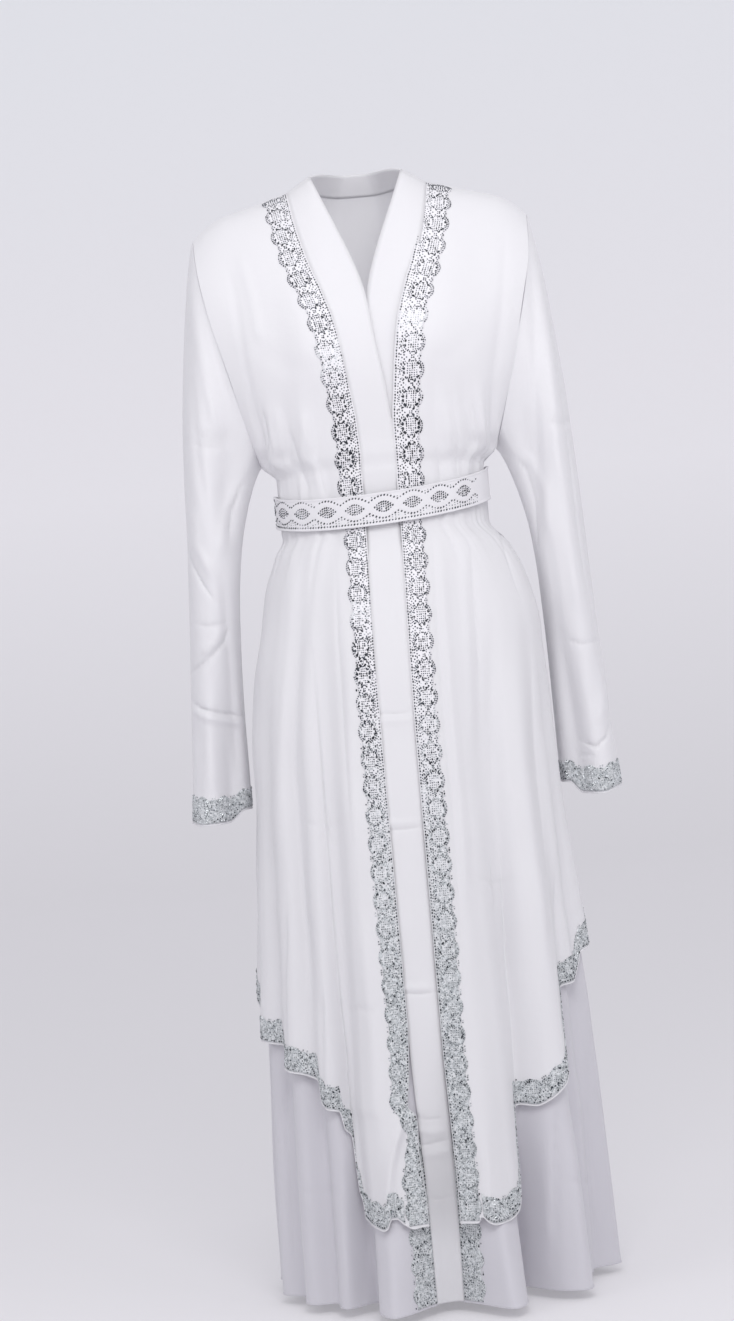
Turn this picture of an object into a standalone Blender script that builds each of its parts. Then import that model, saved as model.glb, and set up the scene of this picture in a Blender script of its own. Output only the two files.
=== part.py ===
"""A long abaya in two layers, in the hollow form that it has when worn.

Units are metres, +Z is up and the front faces -Y. The origin lies midway between the two
shoulder tips, where the wearer's shoulders carry the garment. "Right" and "left" in the names
are the wearer's, so the right half lies at -X.

A point of the cloth is given by an angle and a drop. The angle runs round the figure in degrees,
0 at the front, +90 at the wearer's left side, 180 at the back. The drop is the distance below
the shoulder line. Every wall is a grid of such points, moved out and in by half its thickness.
"""

import math

import bpy
import numpy as np

# Thicknesses and clearances
CLOTH = 0.0020
TRIM = 0.0010
BELT = 0.0024
SEAM = 0.0006
ON_TOP = 0.0008
ON_TOP_AT_FOOT = 0.0020
TRIM_GAP = 0.0007

# Driving sizes
SHOULDER_HALF = 0.210
NECK_HALF = 0.088
NECK_LIFT = 0.041
SHOULDER_CROWN = 0.008
SHOULDER_DROOP = 0.017
SHOULDER_ROUND = 0.045
COLLAR_HALF = 0.058
COLLAR_LIFT = 0.060
COLLAR_BACK_RISE = 0.008
COLLAR_DEPTH_SHARE = 0.80
COLLAR_SEAM = 0.0016
ARMHOLE_DROP = 0.300
WAIST_TOP = 0.318
WAIST_END = 0.390
HEM_DROP = 1.322
LIFT_FADE = 0.250
HEM_TRIM = 0.033
SCALLOP = 0.034
SCALLOP_DEPTH = 0.16
BELT_DROP = 0.348
BELT_SAG = 0.020
BELT_TILT = 0.008
BELT_WIDTH = 0.039
BELT_LIFT = 0.0044
UNDER_TOP = 0.358
UNDER_TRIM_ROWS = 4.3

# Sections of the outer layer, one row for each drop. wrap is how much of an ellipse's quarter
# the section runs through: under 1 it stops short of the side, at the armhole.
SECTION_COLUMNS = ("drop", "half_width", "front", "back", "armhole", "wrap")
SECTIONS = (
    (0.000, 0.2100, 0.000, 0.065, 0.000, 0.60),
    (0.008, 0.2090, 0.030, 0.071, 0.012, 0.60),
    (0.025, 0.2080, 0.052, 0.079, 0.027, 0.60),
    (0.050, 0.2060, 0.070, 0.088, 0.041, 0.60),
    (0.080, 0.2020, 0.085, 0.096, 0.052, 0.60),
    (0.120, 0.1940, 0.100, 0.103, 0.061, 0.62),
    (0.160, 0.1840, 0.110, 0.105, 0.064, 0.66),
    (0.200, 0.1740, 0.112, 0.102, 0.060, 0.72),
    (0.250, 0.1610, 0.107, 0.096, 0.044, 0.84),
    (0.280, 0.1530, 0.102, 0.093, 0.027, 0.94),
    (0.300, 0.1470, 0.099, 0.091, 0.000, 1.00),
    (0.318, 0.1295, 0.0935, 0.0890, 0.000, 1.00),
    (0.390, 0.1295, 0.0935, 0.0890, 0.000, 1.00),
    (0.415, 0.1500, 0.102, 0.104, 0.000, 1.00),
    (0.460, 0.1710, 0.114, 0.128, 0.000, 1.00),
    (0.530, 0.1810, 0.128, 0.143, 0.000, 1.00),
    (0.620, 0.1865, 0.139, 0.152, 0.000, 1.00),
    (0.730, 0.1910, 0.149, 0.160, 0.000, 1.00),
    (0.850, 0.1980, 0.159, 0.168, 0.000, 1.00),
    (1.000, 0.2060, 0.170, 0.178, 0.000, 1.00),
    (1.222, 0.2120, 0.184, 0.192, 0.000, 1.00),
    (1.322, 0.2130, 0.190, 0.196, 0.000, 1.00),
)

# Half the distance between the straight edges of the two fronts, by drop
FRONT_EDGE = (
    (0.000, 0.0880),
    (0.043, 0.0795),
    (0.087, 0.0662),
    (0.119, 0.0527),
    (0.150, 0.0415),
    (0.191, 0.0336),
    (0.230, 0.0284),
    (0.261, 0.0246),
    (0.327, 0.0221),
    (0.400, 0.0214),
    (1.322, 0.0186),
)

# The free edge of a front band, measured across from its own side, by drop. It starts beside
# the neck, reaches the middle at the foot of the V and ends near the other front's edge.
FREE_EDGE = (
    (0.000, -0.0580),
    (0.125, 0.0000),
    (0.161, 0.0048),
    (0.233, 0.0154),
    (0.310, 0.0205),
    (0.400, 0.0202),
    (1.322, 0.0174),
)

# How wide the front edges' trim is: the drop and the width
TRIM_WIDTHS = (
    (0.000, 0.0320),
    (0.300, 0.0320),
    (0.420, 0.0285),
    (0.850, 0.0270),
    (1.050, 0.0245),
    (1.322, 0.0240),
)

# Folds shared by both layers. A positive depth is a ridge, a negative one a valley. Both are
# depths at the foot of the skirt, and a fold grows from its start drop downwards.
FOLD_COLUMNS = ("angle", "half_angle", "depth", "start")
FOLDS = (
    (-15, 13, 0.018, 0.42),
    (-29, 7, -0.020, 0.45),
    (-37, 6, 0.006, 0.50),
    (-45, 6, -0.010, 0.45),
    (-54, 8, 0.010, 0.45),
    (-64, 7, -0.010, 0.60),
    (-75, 8, 0.010, 0.70),
    (-88, 8, -0.012, 0.72),
    (-102, 9, 0.012, 0.74),
    (-116, 9, -0.020, 0.45),
    (-131, 10, 0.020, 0.45),
    (-147, 10, -0.022, 0.42),
    (-162, 10, 0.020, 0.42),
    (-177, 10, -0.022, 0.42),
    (168, 10, 0.022, 0.42),
    (152, 10, -0.020, 0.42),
    (136, 10, 0.020, 0.45),
    (121, 9, -0.018, 0.48),
    (107, 9, 0.012, 0.74),
    (94, 8, -0.010, 0.72),
    (82, 8, 0.018, 0.60),
    (71, 7, -0.012, 0.60),
    (61, 8, -0.016, 0.55),
    (46, 11, 0.022, 0.50),
    (32, 9, -0.024, 0.42),
    (14, 12, 0.018, 0.42),
)

# Further folds of the underskirt, which show below the outer hem
UNDER_FOLDS = (
    (2, 20, -0.042, 1.02),
    (-18, 11, 0.020, 1.215),
    (20, 10, 0.030, 1.215),
    (46, 12, 0.012, 1.090),
    (32, 7, -0.040, 1.120),
    (-30, 7, -0.010, 1.120),
)

# Gathers of the bodice, drawn in by the belt
GATHER_COLUMNS = ("angle", "half_angle", "depth")
GATHERS = (
    (-38, 7, 0.005),
    (-50, 7, -0.005),
    (-61, 7, 0.006),
    (-74, 7, -0.005),
    (36, 7, 0.005),
    (49, 7, -0.005),
    (60, 7, 0.006),
    (73, 7, -0.005),
    (120, 9, 0.006),
    (138, 9, -0.005),
    (158, 9, 0.006),
    (180, 11, -0.005),
    (-158, 9, 0.006),
    (-138, 9, -0.005),
    (-120, 9, 0.006),
)
GATHER_TOP = 0.200
GATHER_FULL = 0.292

# The outer hem's drop by angle. It is lowest at the front and rises in steps to the sides.
OUTER_HEM = (
    (-180, 0.862),
    (-150, 0.845),
    (-120, 0.855),
    (-105, 0.930),
    (-90, 1.000),
    (-75, 1.015),
    (-62, 1.030),
    (-47, 1.043),
    (-40, 1.060),
    (-35, 1.080),
    (-31, 1.110),
    (-29, 1.160),
    (-27, 1.205),
    (-24, 1.222),
    (-18, 1.226),
    (-8, 1.223),
    (8, 1.223),
    (19, 1.226),
    (24, 1.218),
    (27, 1.195),
    (29, 1.150),
    (31, 1.112),
    (34, 1.102),
    (43, 1.100),
    (50, 1.085),
    (56, 1.050),
    (60, 0.995),
    (64, 0.972),
    (73, 0.952),
    (79, 0.920),
    (85, 0.885),
    (95, 0.862),
    (120, 0.838),
    (150, 0.840),
    (180, 0.862),
)

# How far the underskirt lies inside the outer layer at the side, by drop
INSET = ((0.358, 0.0027), (0.450, 0.0045), (0.600, 0.0075), (0.850, 0.0105), (1.322, 0.0120))
INSET_LEAST = 0.0027
INSET_FRONT_SHARE = 0.50
INSET_FRONT_ANGLE = 9.0
INSET_SIDE_ANGLE = 34.0

# The sleeve from the armhole (place 0) to the cuff (place 1): its outer and its inner line in
# the plane y = 0, and its half depth and middle along Y.
SLEEVE_COLUMNS = ("place", "outer_x", "outer_z", "inner_x", "inner_z", "half_depth", "middle_y")
SLEEVE = (
    (0.00, 0.2100, 0.000, 0.1490, -0.300, 0.050, 0.000),
    (0.08, 0.2225, -0.050, 0.1600, -0.312, 0.054, 0.002),
    (0.20, 0.2340, -0.135, 0.1715, -0.345, 0.059, 0.008),
    (0.35, 0.2430, -0.250, 0.1820, -0.400, 0.062, 0.018),
    (0.50, 0.2500, -0.370, 0.1900, -0.470, 0.060, 0.028),
    (0.65, 0.2570, -0.490, 0.1940, -0.545, 0.058, 0.036),
    (0.80, 0.2640, -0.610, 0.1955, -0.630, 0.056, 0.042),
    (1.00, 0.2730, -0.742, 0.1965, -0.738, 0.054, 0.046),
)
ARMHOLE_BLEND = 0.35
SLEEVE_GAP = 0.0019

# Folds along the sleeve: the angle runs round it, 0 on its outer line and 90 at its front
SLEEVE_FOLD_COLUMNS = ("angle", "half_angle", "depth", "peak", "reach")
SLEEVE_FOLDS = (
    (128, 44, -0.020, 0.24, 0.24),
    (60, 40, 0.006, 0.30, 0.30),
    (118, 40, -0.014, 1.00, 0.60),
    (60, 40, 0.006, 1.00, 0.50),
    (-60, 44, -0.010, 0.75, 0.60),
    (-130, 44, -0.016, 0.28, 0.26),
    (-110, 40, 0.006, 0.90, 0.50),
)

# How finely the walls are divided
FRONT_CELLS = 17
BACK_CELLS = 30
BACK_NECK_CELLS = 5
BAND_CELLS = 4
SLEEVE_CELLS = 24
BELT_CELLS = 48
CUFF_STEPS = 48
SCALLOP_STEPS = 3
CUFF_SCALLOP_STEPS = 4
ARMHOLE_DROPS = tuple(row[0] for row in SECTIONS if row[0] <= ARMHOLE_DROP)
LEVEL_DROPS = ARMHOLE_DROPS + (WAIST_TOP, WAIST_END)
SKIRT_SHARES = (0.09, 0.22, 0.40, 0.59, 0.79)
FOOT_SHARES = (0.33, 0.67, 1)
SLEEVE_PLACES = (0, 0.05, 0.11, 0.17, 0.24, 0.31, 0.38, 0.46, 0.54, 0.62, 0.70, 0.78, 0.86, 0.952, 1)

# Colour, roughness and metal share of each material
MATERIALS = {
    "cloth": ((0.90, 0.89, 0.91, 1.0), 0.75, 0.0),
    "cloth_under": ((0.86, 0.85, 0.88, 1.0), 0.75, 0.0),
    "belt_cloth": ((0.91, 0.90, 0.92, 1.0), 0.65, 0.0),
    "rhinestone_trim": ((0.60, 0.63, 0.67, 1.0), 0.30, 0.6),
}

STEP_ANGLE = 0.05
STEP_DROP = 0.0002
STEP_PLACE = 0.002


def column(table, columns, name):
    """One named column of a table, as an array."""
    return np.array([row[columns.index(name)] for row in table], float)


def smooth(xs, ys, x):
    """A curve through the points (xs, ys) that doesn't overshoot them, read at x."""
    xs, ys = np.asarray(xs, float), np.asarray(ys, float)
    x = np.clip(x, xs[0], xs[-1])
    width = np.diff(xs)
    slope = np.diff(ys) / width
    tangent = np.zeros(len(xs))
    product = slope[:-1] * slope[1:]
    both = np.where(product > 0, slope[:-1] + slope[1:], 1.0)
    tangent[1:-1] = np.where(product > 0, 2 * product / both, 0.0)
    tangent[0], tangent[-1] = slope[0], slope[-1]
    i = np.clip(np.searchsorted(xs, x, side="right") - 1, 0, len(xs) - 2)
    t = (x - xs[i]) / width[i]
    start = ys[i] * (1 + 2 * t) * (1 - t) ** 2 + tangent[i] * width[i] * t * (1 - t) ** 2
    end = ys[i + 1] * t**2 * (3 - 2 * t) - tangent[i + 1] * width[i] * t**2 * (1 - t)
    return start + end


def ease(t):
    """0 below 0, 1 above 1, and smooth between."""
    t = np.clip(t, 0.0, 1.0)
    return t * t * (3 - 2 * t)


def bump(distance, half_width):
    """1 at no distance, falling smoothly to 0 at half_width."""
    return np.cos(0.5 * math.pi * np.clip(distance / half_width, -1, 1)) ** 2


def turn(angle, centre):
    """The signed angle from centre, between -180 and 180 degrees."""
    return (angle - centre + 180.0) % 360.0 - 180.0


def section(name, drop):
    """One size of the outer layer's section at a drop."""
    drops = column(SECTIONS, SECTION_COLUMNS, "drop")
    return smooth(drops, column(SECTIONS, SECTION_COLUMNS, name), drop)


def front_edge(drop):
    return smooth(*np.transpose(FRONT_EDGE), drop)


def trim_width(drop):
    return smooth(*np.transpose(TRIM_WIDTHS), drop)


def outer_hem(angle):
    return smooth(*np.transpose(OUTER_HEM), turn(angle, 0.0))


def angle_at(x, drop):
    """The angle, on the front, at which the section has this x."""
    wrap = section("wrap", drop)
    share = np.clip(x / section("half_width", drop), -1, 1) * np.sin(wrap * math.pi / 2)
    return np.degrees(np.arcsin(share) / wrap)


def fold_depth(angle, drop, table):
    """The sum of a table's folds at a point, outwards."""
    total = np.zeros(angle.shape)
    for centre, half_angle, depth, start in table:
        grown = np.clip((drop - start) / (HEM_DROP - start), 0, 1)
        total += depth * grown**0.9 * bump(turn(angle, centre), half_angle)
    return total


def gather_depth(angle, drop):
    """The gathers of the bodice, which die out where the waist begins."""
    grown = ease((drop - GATHER_TOP) / (GATHER_FULL - GATHER_TOP))
    grown = grown * (1 - ease((drop - GATHER_FULL) / (WAIST_TOP - GATHER_FULL)))
    total = np.zeros(angle.shape)
    for centre, half_angle, depth in GATHERS:
        total += depth * grown * bump(turn(angle, centre), half_angle)
    return total


def bust_fullness(x, drop):
    """Fullness of a general figure's chest, above and below its fullest line."""
    reach = np.where(drop > 0.165, 0.050, 0.065)
    across = np.exp(-(((np.abs(x) - 0.080) / 0.050) ** 2))
    return 0.017 * across * np.exp(-(((drop - 0.165) / reach) ** 2)) * ease(drop / 0.05)


def shoulder_lift(x, drop, back):
    """How far the cloth lies above its drop, on the slope from the shoulder tip to the neck.
    Inside the neck's side the front climbs on, and the back stays level."""
    side = np.abs(x)
    share = np.clip((SHOULDER_HALF - side) / (SHOULDER_HALF - NECK_HALF), 0, 1)
    beyond = np.clip(1 - (SHOULDER_HALF - side) / SHOULDER_ROUND, 0, 1)
    lift = SHOULDER_CROWN + (NECK_LIFT - SHOULDER_CROWN) * share - SHOULDER_DROOP * beyond**2
    climb = (COLLAR_LIFT - NECK_LIFT) / (NECK_HALF - COLLAR_HALF)
    inner = NECK_LIFT if back else NECK_LIFT + climb * (NECK_HALF - np.maximum(side, COLLAR_HALF))
    return np.where(side < NECK_HALF, inner, lift) * np.clip(1 - drop / LIFT_FADE, 0, 1) ** 2


def cloth_point(angle, drop, back=False, inset=0.0, extra=()):
    """A point of the cloth. inset moves it inwards, and extra is a further table of folds."""
    angle, drop = np.broadcast_arrays(np.asarray(angle, float), np.asarray(drop, float))
    half_width = section("half_width", drop)
    depth = section("back" if back else "front", drop)
    armhole = section("armhole", drop)
    wrap = section("wrap", drop) * math.pi / 2
    from_middle = turn(angle, 180.0 if back else 0.0)
    turned = np.clip(np.radians(np.abs(from_middle)) * section("wrap", drop), 0, wrap)
    across = np.sin(turned) / np.sin(wrap) * np.sign(from_middle) * (-1 if back else 1)
    forward = (np.cos(turned) - np.cos(wrap)) / (1 - np.cos(wrap))
    x = half_width * across
    y = armhole + (depth - armhole) * forward
    if back:
        reached = np.interp(drop, (0, 0.008, 0.025, 0.05, 0.08), (0, 0.42, 0.72, 0.92, 1.0))
        off_neck = ease((np.abs(x) - 0.2 * NECK_HALF) / (0.8 * NECK_HALF))
        y = y * (1 - (1 - reached) * off_neck)
    else:
        y = y + bust_fullness(x, drop)
    side_x, side_y = depth * np.abs(across), half_width * np.maximum(forward, 0)
    length = np.sqrt(side_x**2 + side_y**2) + 1e-9
    out = fold_depth(angle, drop, FOLDS + tuple(extra)) + gather_depth(angle, drop) - inset
    x = x + out * np.sign(across) * side_x / length
    y = y + out * side_y / length
    return np.stack([x, y if back else -y, shoulder_lift(x, drop, back) - drop], axis=-1)


def under_inset(angle, drop):
    """How far the underskirt lies inside the outer layer: least at the front."""
    span = INSET_SIDE_ANGLE - INSET_FRONT_ANGLE
    from_front = (np.abs(turn(angle, 0.0)) - INSET_FRONT_ANGLE) / span
    share = INSET_FRONT_SHARE + (1 - INSET_FRONT_SHARE) * ease(from_front)
    return np.maximum(INSET_LEAST, share * smooth(*np.transpose(INSET), drop))


def under_point(angle, drop, back=False, behind=0.0):
    """A point of the underskirt, of a band that is sewn to it, or of a layer behind them."""
    angle, drop = np.broadcast_arrays(np.asarray(angle, float), np.asarray(drop, float))
    inset = ease((drop - WAIST_TOP) / (UNDER_TOP - WAIST_TOP)) * under_inset(angle, drop)
    return cloth_point(angle, drop, back, inset + behind, UNDER_FOLDS)


def left_band_point(angle, drop):
    """A point of the left band, which passes behind the right one from the V downwards."""
    drop = np.asarray(drop, float)
    behind = (CLOTH + ON_TOP) * ease((drop - 0.05) / 0.06) + ON_TOP_AT_FOOT * ease((drop - 0.9) / 0.3)
    return under_point(angle, drop, behind=behind)


def sleeve_point(angle, place, side):
    """A point of a sleeve. side is +1 for the left sleeve and -1 for the right one."""
    angle, place = np.broadcast_arrays(np.asarray(angle, float), np.asarray(place, float))
    places = column(SLEEVE, SLEEVE_COLUMNS, "place")
    size = {n: smooth(places, column(SLEEVE, SLEEVE_COLUMNS, n), place) for n in SLEEVE_COLUMNS[1:]}
    lengthwise, forward = np.cos(np.radians(angle)), np.sin(np.radians(angle))
    out = np.zeros(angle.shape)
    for centre, half_angle, depth, peak, reach in SLEEVE_FOLDS:
        out += depth * bump(place - peak, reach) * bump(turn(angle, centre), half_angle)
    share = 1 + out / size["half_depth"]
    half_x = (size["outer_x"] - size["inner_x"]) / 2
    half_z = (size["outer_z"] - size["inner_z"]) / 2
    x = size["inner_x"] + half_x + half_x * lengthwise * share
    y = size["middle_y"] - size["half_depth"] * forward * share
    z = size["inner_z"] + half_z + half_z * lengthwise
    drop = ARMHOLE_DROP / 2 * (1 - lengthwise)
    front, back = cloth_point(90.0, drop), cloth_point(90.0, drop, back=True)
    hole = np.where((forward > 0)[..., None], front, back) + np.array([SLEEVE_GAP, 0, 0])
    blend = ease(place / ARMHOLE_BLEND)[..., None]
    return (hole * (1 - blend) + np.stack([x, y, z], axis=-1) * blend) * np.array([side, 1, 1])


def outward(point, u, v, step_u, step_v, centre):
    """Unit normals of a surface point(u, v), pointing away from centre."""
    across = point(u + step_u, v) - point(u - step_u, v)
    down = point(u, v + step_v) - point(u, v - step_v)
    normal = np.cross(across, down)
    normal /= np.linalg.norm(normal, axis=-1, keepdims=True) + 1e-15
    away = np.sum(normal * (point(u, v) - centre), axis=-1, keepdims=True)
    return np.where(away < 0, -normal, normal)


def unit(vectors):
    return vectors / np.linalg.norm(vectors, axis=-1, keepdims=True)


def squared(normals, where):
    """Turns the first row's normals square to Y, so that front and back meet along a seam."""
    normals[0, where, 1] = 0
    normals[0] = unit(normals[0])
    return normals


def wall(points, normals, low, high, ring=False):
    """Closed wall between a grid of points moved by low and by high along the normals.
    Rows run down and columns across; in a ring the last column meets the first."""
    rows, cols = points.shape[:2]
    outer = (points + normals * high).reshape(-1, 3)
    inner = (points + normals * low).reshape(-1, 3)
    verts = np.concatenate([outer, inner])
    n = rows * cols
    faces = []
    for r in range(rows - 1):
        for c in range(cols if ring else cols - 1):
            a, b = r * cols + c, r * cols + (c + 1) % cols
            d, e = a + cols, b + cols
            faces += [(a, d, b), (b, d, e), (n + a, n + b, n + d), (n + b, n + e, n + d)]
    around = list(range(cols)) + ([0] if ring else [])
    rims = [around[::-1], [(rows - 1) * cols + c for c in around]]
    if not ring:
        rims += [[r * cols for r in range(rows)], [r * cols + cols - 1 for r in range(rows)][::-1]]
    for rim in rims:
        for a, b in zip(rim, rim[1:]):
            faces += [(a, n + a, b), (b, n + a, n + b)]
    return verts, faces


def material(name):
    found = bpy.data.materials.get(name)
    if found:
        return found
    colour, roughness, metallic = MATERIALS[name]
    made = bpy.data.materials.new(name)
    made.use_nodes = True
    shader = made.node_tree.nodes["Principled BSDF"]
    shader.inputs["Base Color"].default_value = colour
    shader.inputs["Roughness"].default_value = roughness
    shader.inputs["Metallic"].default_value = metallic
    return made


def add_wall(name, points, normals, material_name, low=-CLOTH / 2, high=CLOTH / 2, ring=False):
    """One named closed wall, with its faces turned outwards."""
    verts, faces = wall(points, normals, low, high, ring)
    a, b, c = (verts[[face[i] for face in faces]] for i in range(3))
    if np.einsum("ij,ij->i", a, np.cross(b, c)).sum() < 0:
        faces = [face[::-1] for face in faces]
    mesh = bpy.data.meshes.new(name)
    mesh.from_pydata([tuple(v) for v in verts], [], faces)
    mesh.materials.append(material(material_name))
    mesh.shade_smooth()
    mesh.set_sharp_from_angle(angle=math.radians(50))
    made = bpy.data.objects.new(name, mesh)
    bpy.context.scene.collection.objects.link(made)
    return made


def seam_angle(drop):
    """Half the gap of a lengthwise seam, as an angle."""
    return np.degrees(SEAM / 2 / section("half_width", drop))


def front_angle(cell, drop):
    """Angle of a front panel's column: 0 is its edge, 1 the trim's outer line, the last one its
    side, which is the side seam or the armhole."""
    edge = angle_at(front_edge(drop) + SEAM / 2, drop)
    trim = angle_at(front_edge(drop) + trim_width(drop), drop)
    share = np.clip((cell - 1) / (FRONT_CELLS - 1), 0, 1)
    return np.where(cell < 1, edge, trim + (90.0 - seam_angle(drop) - trim) * share)


def back_angle(cell, drop):
    """Angle of the back panel's column, from the left side round to the right one. A column
    falls on each side of the neck."""
    neck = angle_at(NECK_HALF, 0.0)
    from_middle = np.abs(cell - BACK_CELLS / 2)
    share = np.clip((from_middle - BACK_NECK_CELLS) / (BACK_CELLS / 2 - BACK_NECK_CELLS), 0, 1)
    angle = np.minimum(from_middle / BACK_NECK_CELLS, 1) * neck
    angle = angle + share * (90.0 - seam_angle(drop) - neck)
    return 180.0 + np.sign(cell - BACK_CELLS / 2) * angle


def body_normals(point, angles, drops):
    """Normals of a body panel, pointing away from the figure's middle line."""
    middle = np.stack([np.zeros(drops.shape), np.zeros(drops.shape), -drops - 0.05], axis=-1)
    return outward(point, angles, drops, STEP_ANGLE, STEP_DROP, middle)


def outer_drops(hem):
    """Drops of the outer layer's rows: level ones down to the waist, then shares of the way to
    the hem, and at last a row as far above the hem as its trim is high."""
    above = hem - HEM_TRIM
    rows = [np.full(hem.shape, drop) for drop in LEVEL_DROPS]
    rows += [WAIST_END + share * (above - WAIST_END) for share in SKIRT_SHARES]
    return np.array(rows + [above, hem])


def under_drops(hem):
    """Drops of the underskirt's rows, which keep to the outer layer's as far down as its hem."""
    rows = outer_drops(hem)[len(LEVEL_DROPS) - 1 :]
    foot = [hem + share * (HEM_DROP - hem) for share in FOOT_SHARES]
    return np.array([np.full(hem.shape, UNDER_TOP), *rows, *foot])


def outer_front(side):
    """Points and normals of an outer front. side is +1 for the left one, -1 for the right."""
    cells = np.arange(FRONT_CELLS + 1)
    drops = outer_drops(outer_hem(side * front_angle(cells, 1.1)))
    angles = side * front_angle(cells, drops)
    points, normals = cloth_point(angles, drops), body_normals(cloth_point, angles, drops)
    points[0, :, 1] -= SEAM / 2
    return points, squared(normals, slice(None))


def outer_back():
    """Points and normals of the outer back."""
    cells = np.arange(BACK_CELLS + 1)
    drops = outer_drops(outer_hem(back_angle(cells, 1.1)))
    angles = back_angle(cells, drops)

    def point(angle, drop):
        return cloth_point(angle, drop, back=True)

    points, normals = point(angles, drops), body_normals(point, angles, drops)
    shoulder = np.abs(cells - BACK_CELLS / 2) >= BACK_NECK_CELLS
    points[0, shoulder, 1] += SEAM / 2
    return points, squared(normals, shoulder)


def under_panel(cells, angle_of, back):
    """Points and normals of one panel of the underskirt."""
    drops = under_drops(outer_hem(angle_of(cells, 1.1)))
    angles = angle_of(cells, drops)

    def point(angle, drop):
        return under_point(angle, drop, back)

    return point(angles, drops), body_normals(point, angles, drops)


def front_band(side, point):
    """Points and normals of a front band, from its own edge to its free edge."""
    skirt = under_drops(outer_hem(np.zeros(BAND_CELLS + 1)))[1:]
    drops = np.array([np.full(BAND_CELLS + 1, drop) for drop in LEVEL_DROPS[:-1]] + list(skirt))
    own = -(front_edge(drops) - SEAM / 2)
    free = smooth(*np.transpose(FREE_EDGE), drops)
    share = np.linspace(0, 1, BAND_CELLS + 1)
    angles = angle_at(-side * (own + (free - own) * share), drops)
    points, normals = point(angles, drops), body_normals(point, angles, drops)
    points[0, :, 1] -= SEAM / 2
    return points, squared(normals, slice(None))


def back_neck_band(back_points, back_normals):
    """Points and normals of the back neck band, which stands on the back panel's neckline."""
    middle = BACK_CELLS // 2
    neckline = slice(middle - BACK_NECK_CELLS, middle + BACK_NECK_CELLS + 1)
    low, normals = back_points[0, neckline], back_normals[0, neckline]
    along = low[:, 0] / NECK_HALF
    high = np.stack([along * COLLAR_HALF,
                     SEAM / 2 + (low[:, 1] - SEAM / 2) * COLLAR_DEPTH_SHARE,
                     COLLAR_LIFT + COLLAR_BACK_RISE * (1 - along**2)], axis=-1)
    rise = unit(high - low)
    across = unit(np.gradient((low + high) / 2, axis=0))
    upper = np.cross(across, rise)
    upper = upper * np.sign(np.sum(upper * normals, axis=-1, keepdims=True))
    upper[[0, -1], 1] = 0
    rows = [low + rise * COLLAR_SEAM, (low + high) / 2, high]
    return np.array(rows)[::-1], np.tile(unit(upper), (3, 1, 1))


def on_panel(points, normals, row, cell):
    """Points and normals on a panel's outer face, at fractional rows and cells of its grid.
    They lie on the very triangles of the panel."""
    face = points + normals * CLOTH / 2
    r = np.clip(np.floor(row).astype(int), 0, face.shape[0] - 2)
    c = np.clip(np.floor(cell).astype(int), 0, face.shape[1] - 2)
    v, u = (row - r)[..., None], (cell - c)[..., None]

    def first(grid):
        return grid[r, c] + u * (grid[r, c + 1] - grid[r, c]) + v * (grid[r + 1, c] - grid[r, c])

    def second(grid):
        end = grid[r + 1, c + 1]
        return end + (1 - u) * (grid[r + 1, c] - end) + (1 - v) * (grid[r, c + 1] - end)

    return [np.where(u + v <= 1, first(grid), second(grid)) for grid in (face, normals)]


def evenly(path, first, last, step):
    """Fractional indices of a path at even distances along it. The nearest one is moved to
    each point of the path, so that a strip laid on them bends where the path does."""
    lengths = np.concatenate([[0], np.cumsum(np.linalg.norm(np.diff(path, axis=0), axis=-1))])
    indices = np.arange(len(path))
    start, end = np.interp([first, last], indices, lengths)
    count = SCALLOP_STEPS * max(1, round((end - start) / step / SCALLOP_STEPS))
    found = np.interp(np.linspace(start, end, count + 1), lengths, indices)
    for line in range(math.ceil(first), math.floor(last) + 1):
        found[1 + np.argmin(np.abs(found[1:-1] - line))] = line
    return found


def scallop_share(count, steps=SCALLOP_STEPS):
    """For each step along a trim, how far its scalloped edge reaches out."""
    return np.where(np.arange(count) % steps == 0, 1 - SCALLOP_DEPTH, 1.0)


def add_trim(name, panel, row, cell, ring=False):
    points, normals = on_panel(*panel, row, cell)
    add_wall(name, points, unit(normals), "rhinestone_trim", TRIM_GAP, TRIM_GAP + TRIM, ring)


def add_edge_trim(name, panel, first_row):
    """Trim beside a front's straight edge, in the panel's first cell."""
    row = evenly(panel[0][:, 0], first_row, panel[0].shape[0] - 1.01, SCALLOP / SCALLOP_STEPS)
    reach = 0.96 * scallop_share(len(row))[:, None]
    cell = 0.02 + (reach - 0.02) * np.array([0, 0.5, 1])
    add_trim(name, panel, np.tile(row[:, None], (1, 3)), cell)


def add_hem_trim(name, panel, first_cell, last_cell):
    """Trim above an outer hem, in the panel's last row of cells."""
    cell = evenly(panel[0][-1], first_cell, last_cell, SCALLOP / SCALLOP_STEPS)
    top = panel[0].shape[0] - 1 - 0.97 * scallop_share(len(cell))
    low = np.full(cell.shape, panel[0].shape[0] - 1 - 0.06)
    add_trim(name, panel, np.array([top, low]), np.tile(cell, (2, 1)))


def add_cuff_trim(name, sleeve):
    """Trim round a cuff, in the sleeve's last row of cells."""
    closed = [np.concatenate([grid, grid[:, :1]], axis=1) for grid in sleeve]
    cell = np.arange(CUFF_STEPS) * SLEEVE_CELLS / CUFF_STEPS
    top = closed[0].shape[0] - 1 - 0.95 * scallop_share(CUFF_STEPS, CUFF_SCALLOP_STEPS)
    low = np.full(cell.shape, closed[0].shape[0] - 1 - 0.06)
    add_trim(name, closed, np.array([top, low]), np.tile(cell, (2, 1)), ring=True)


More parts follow.
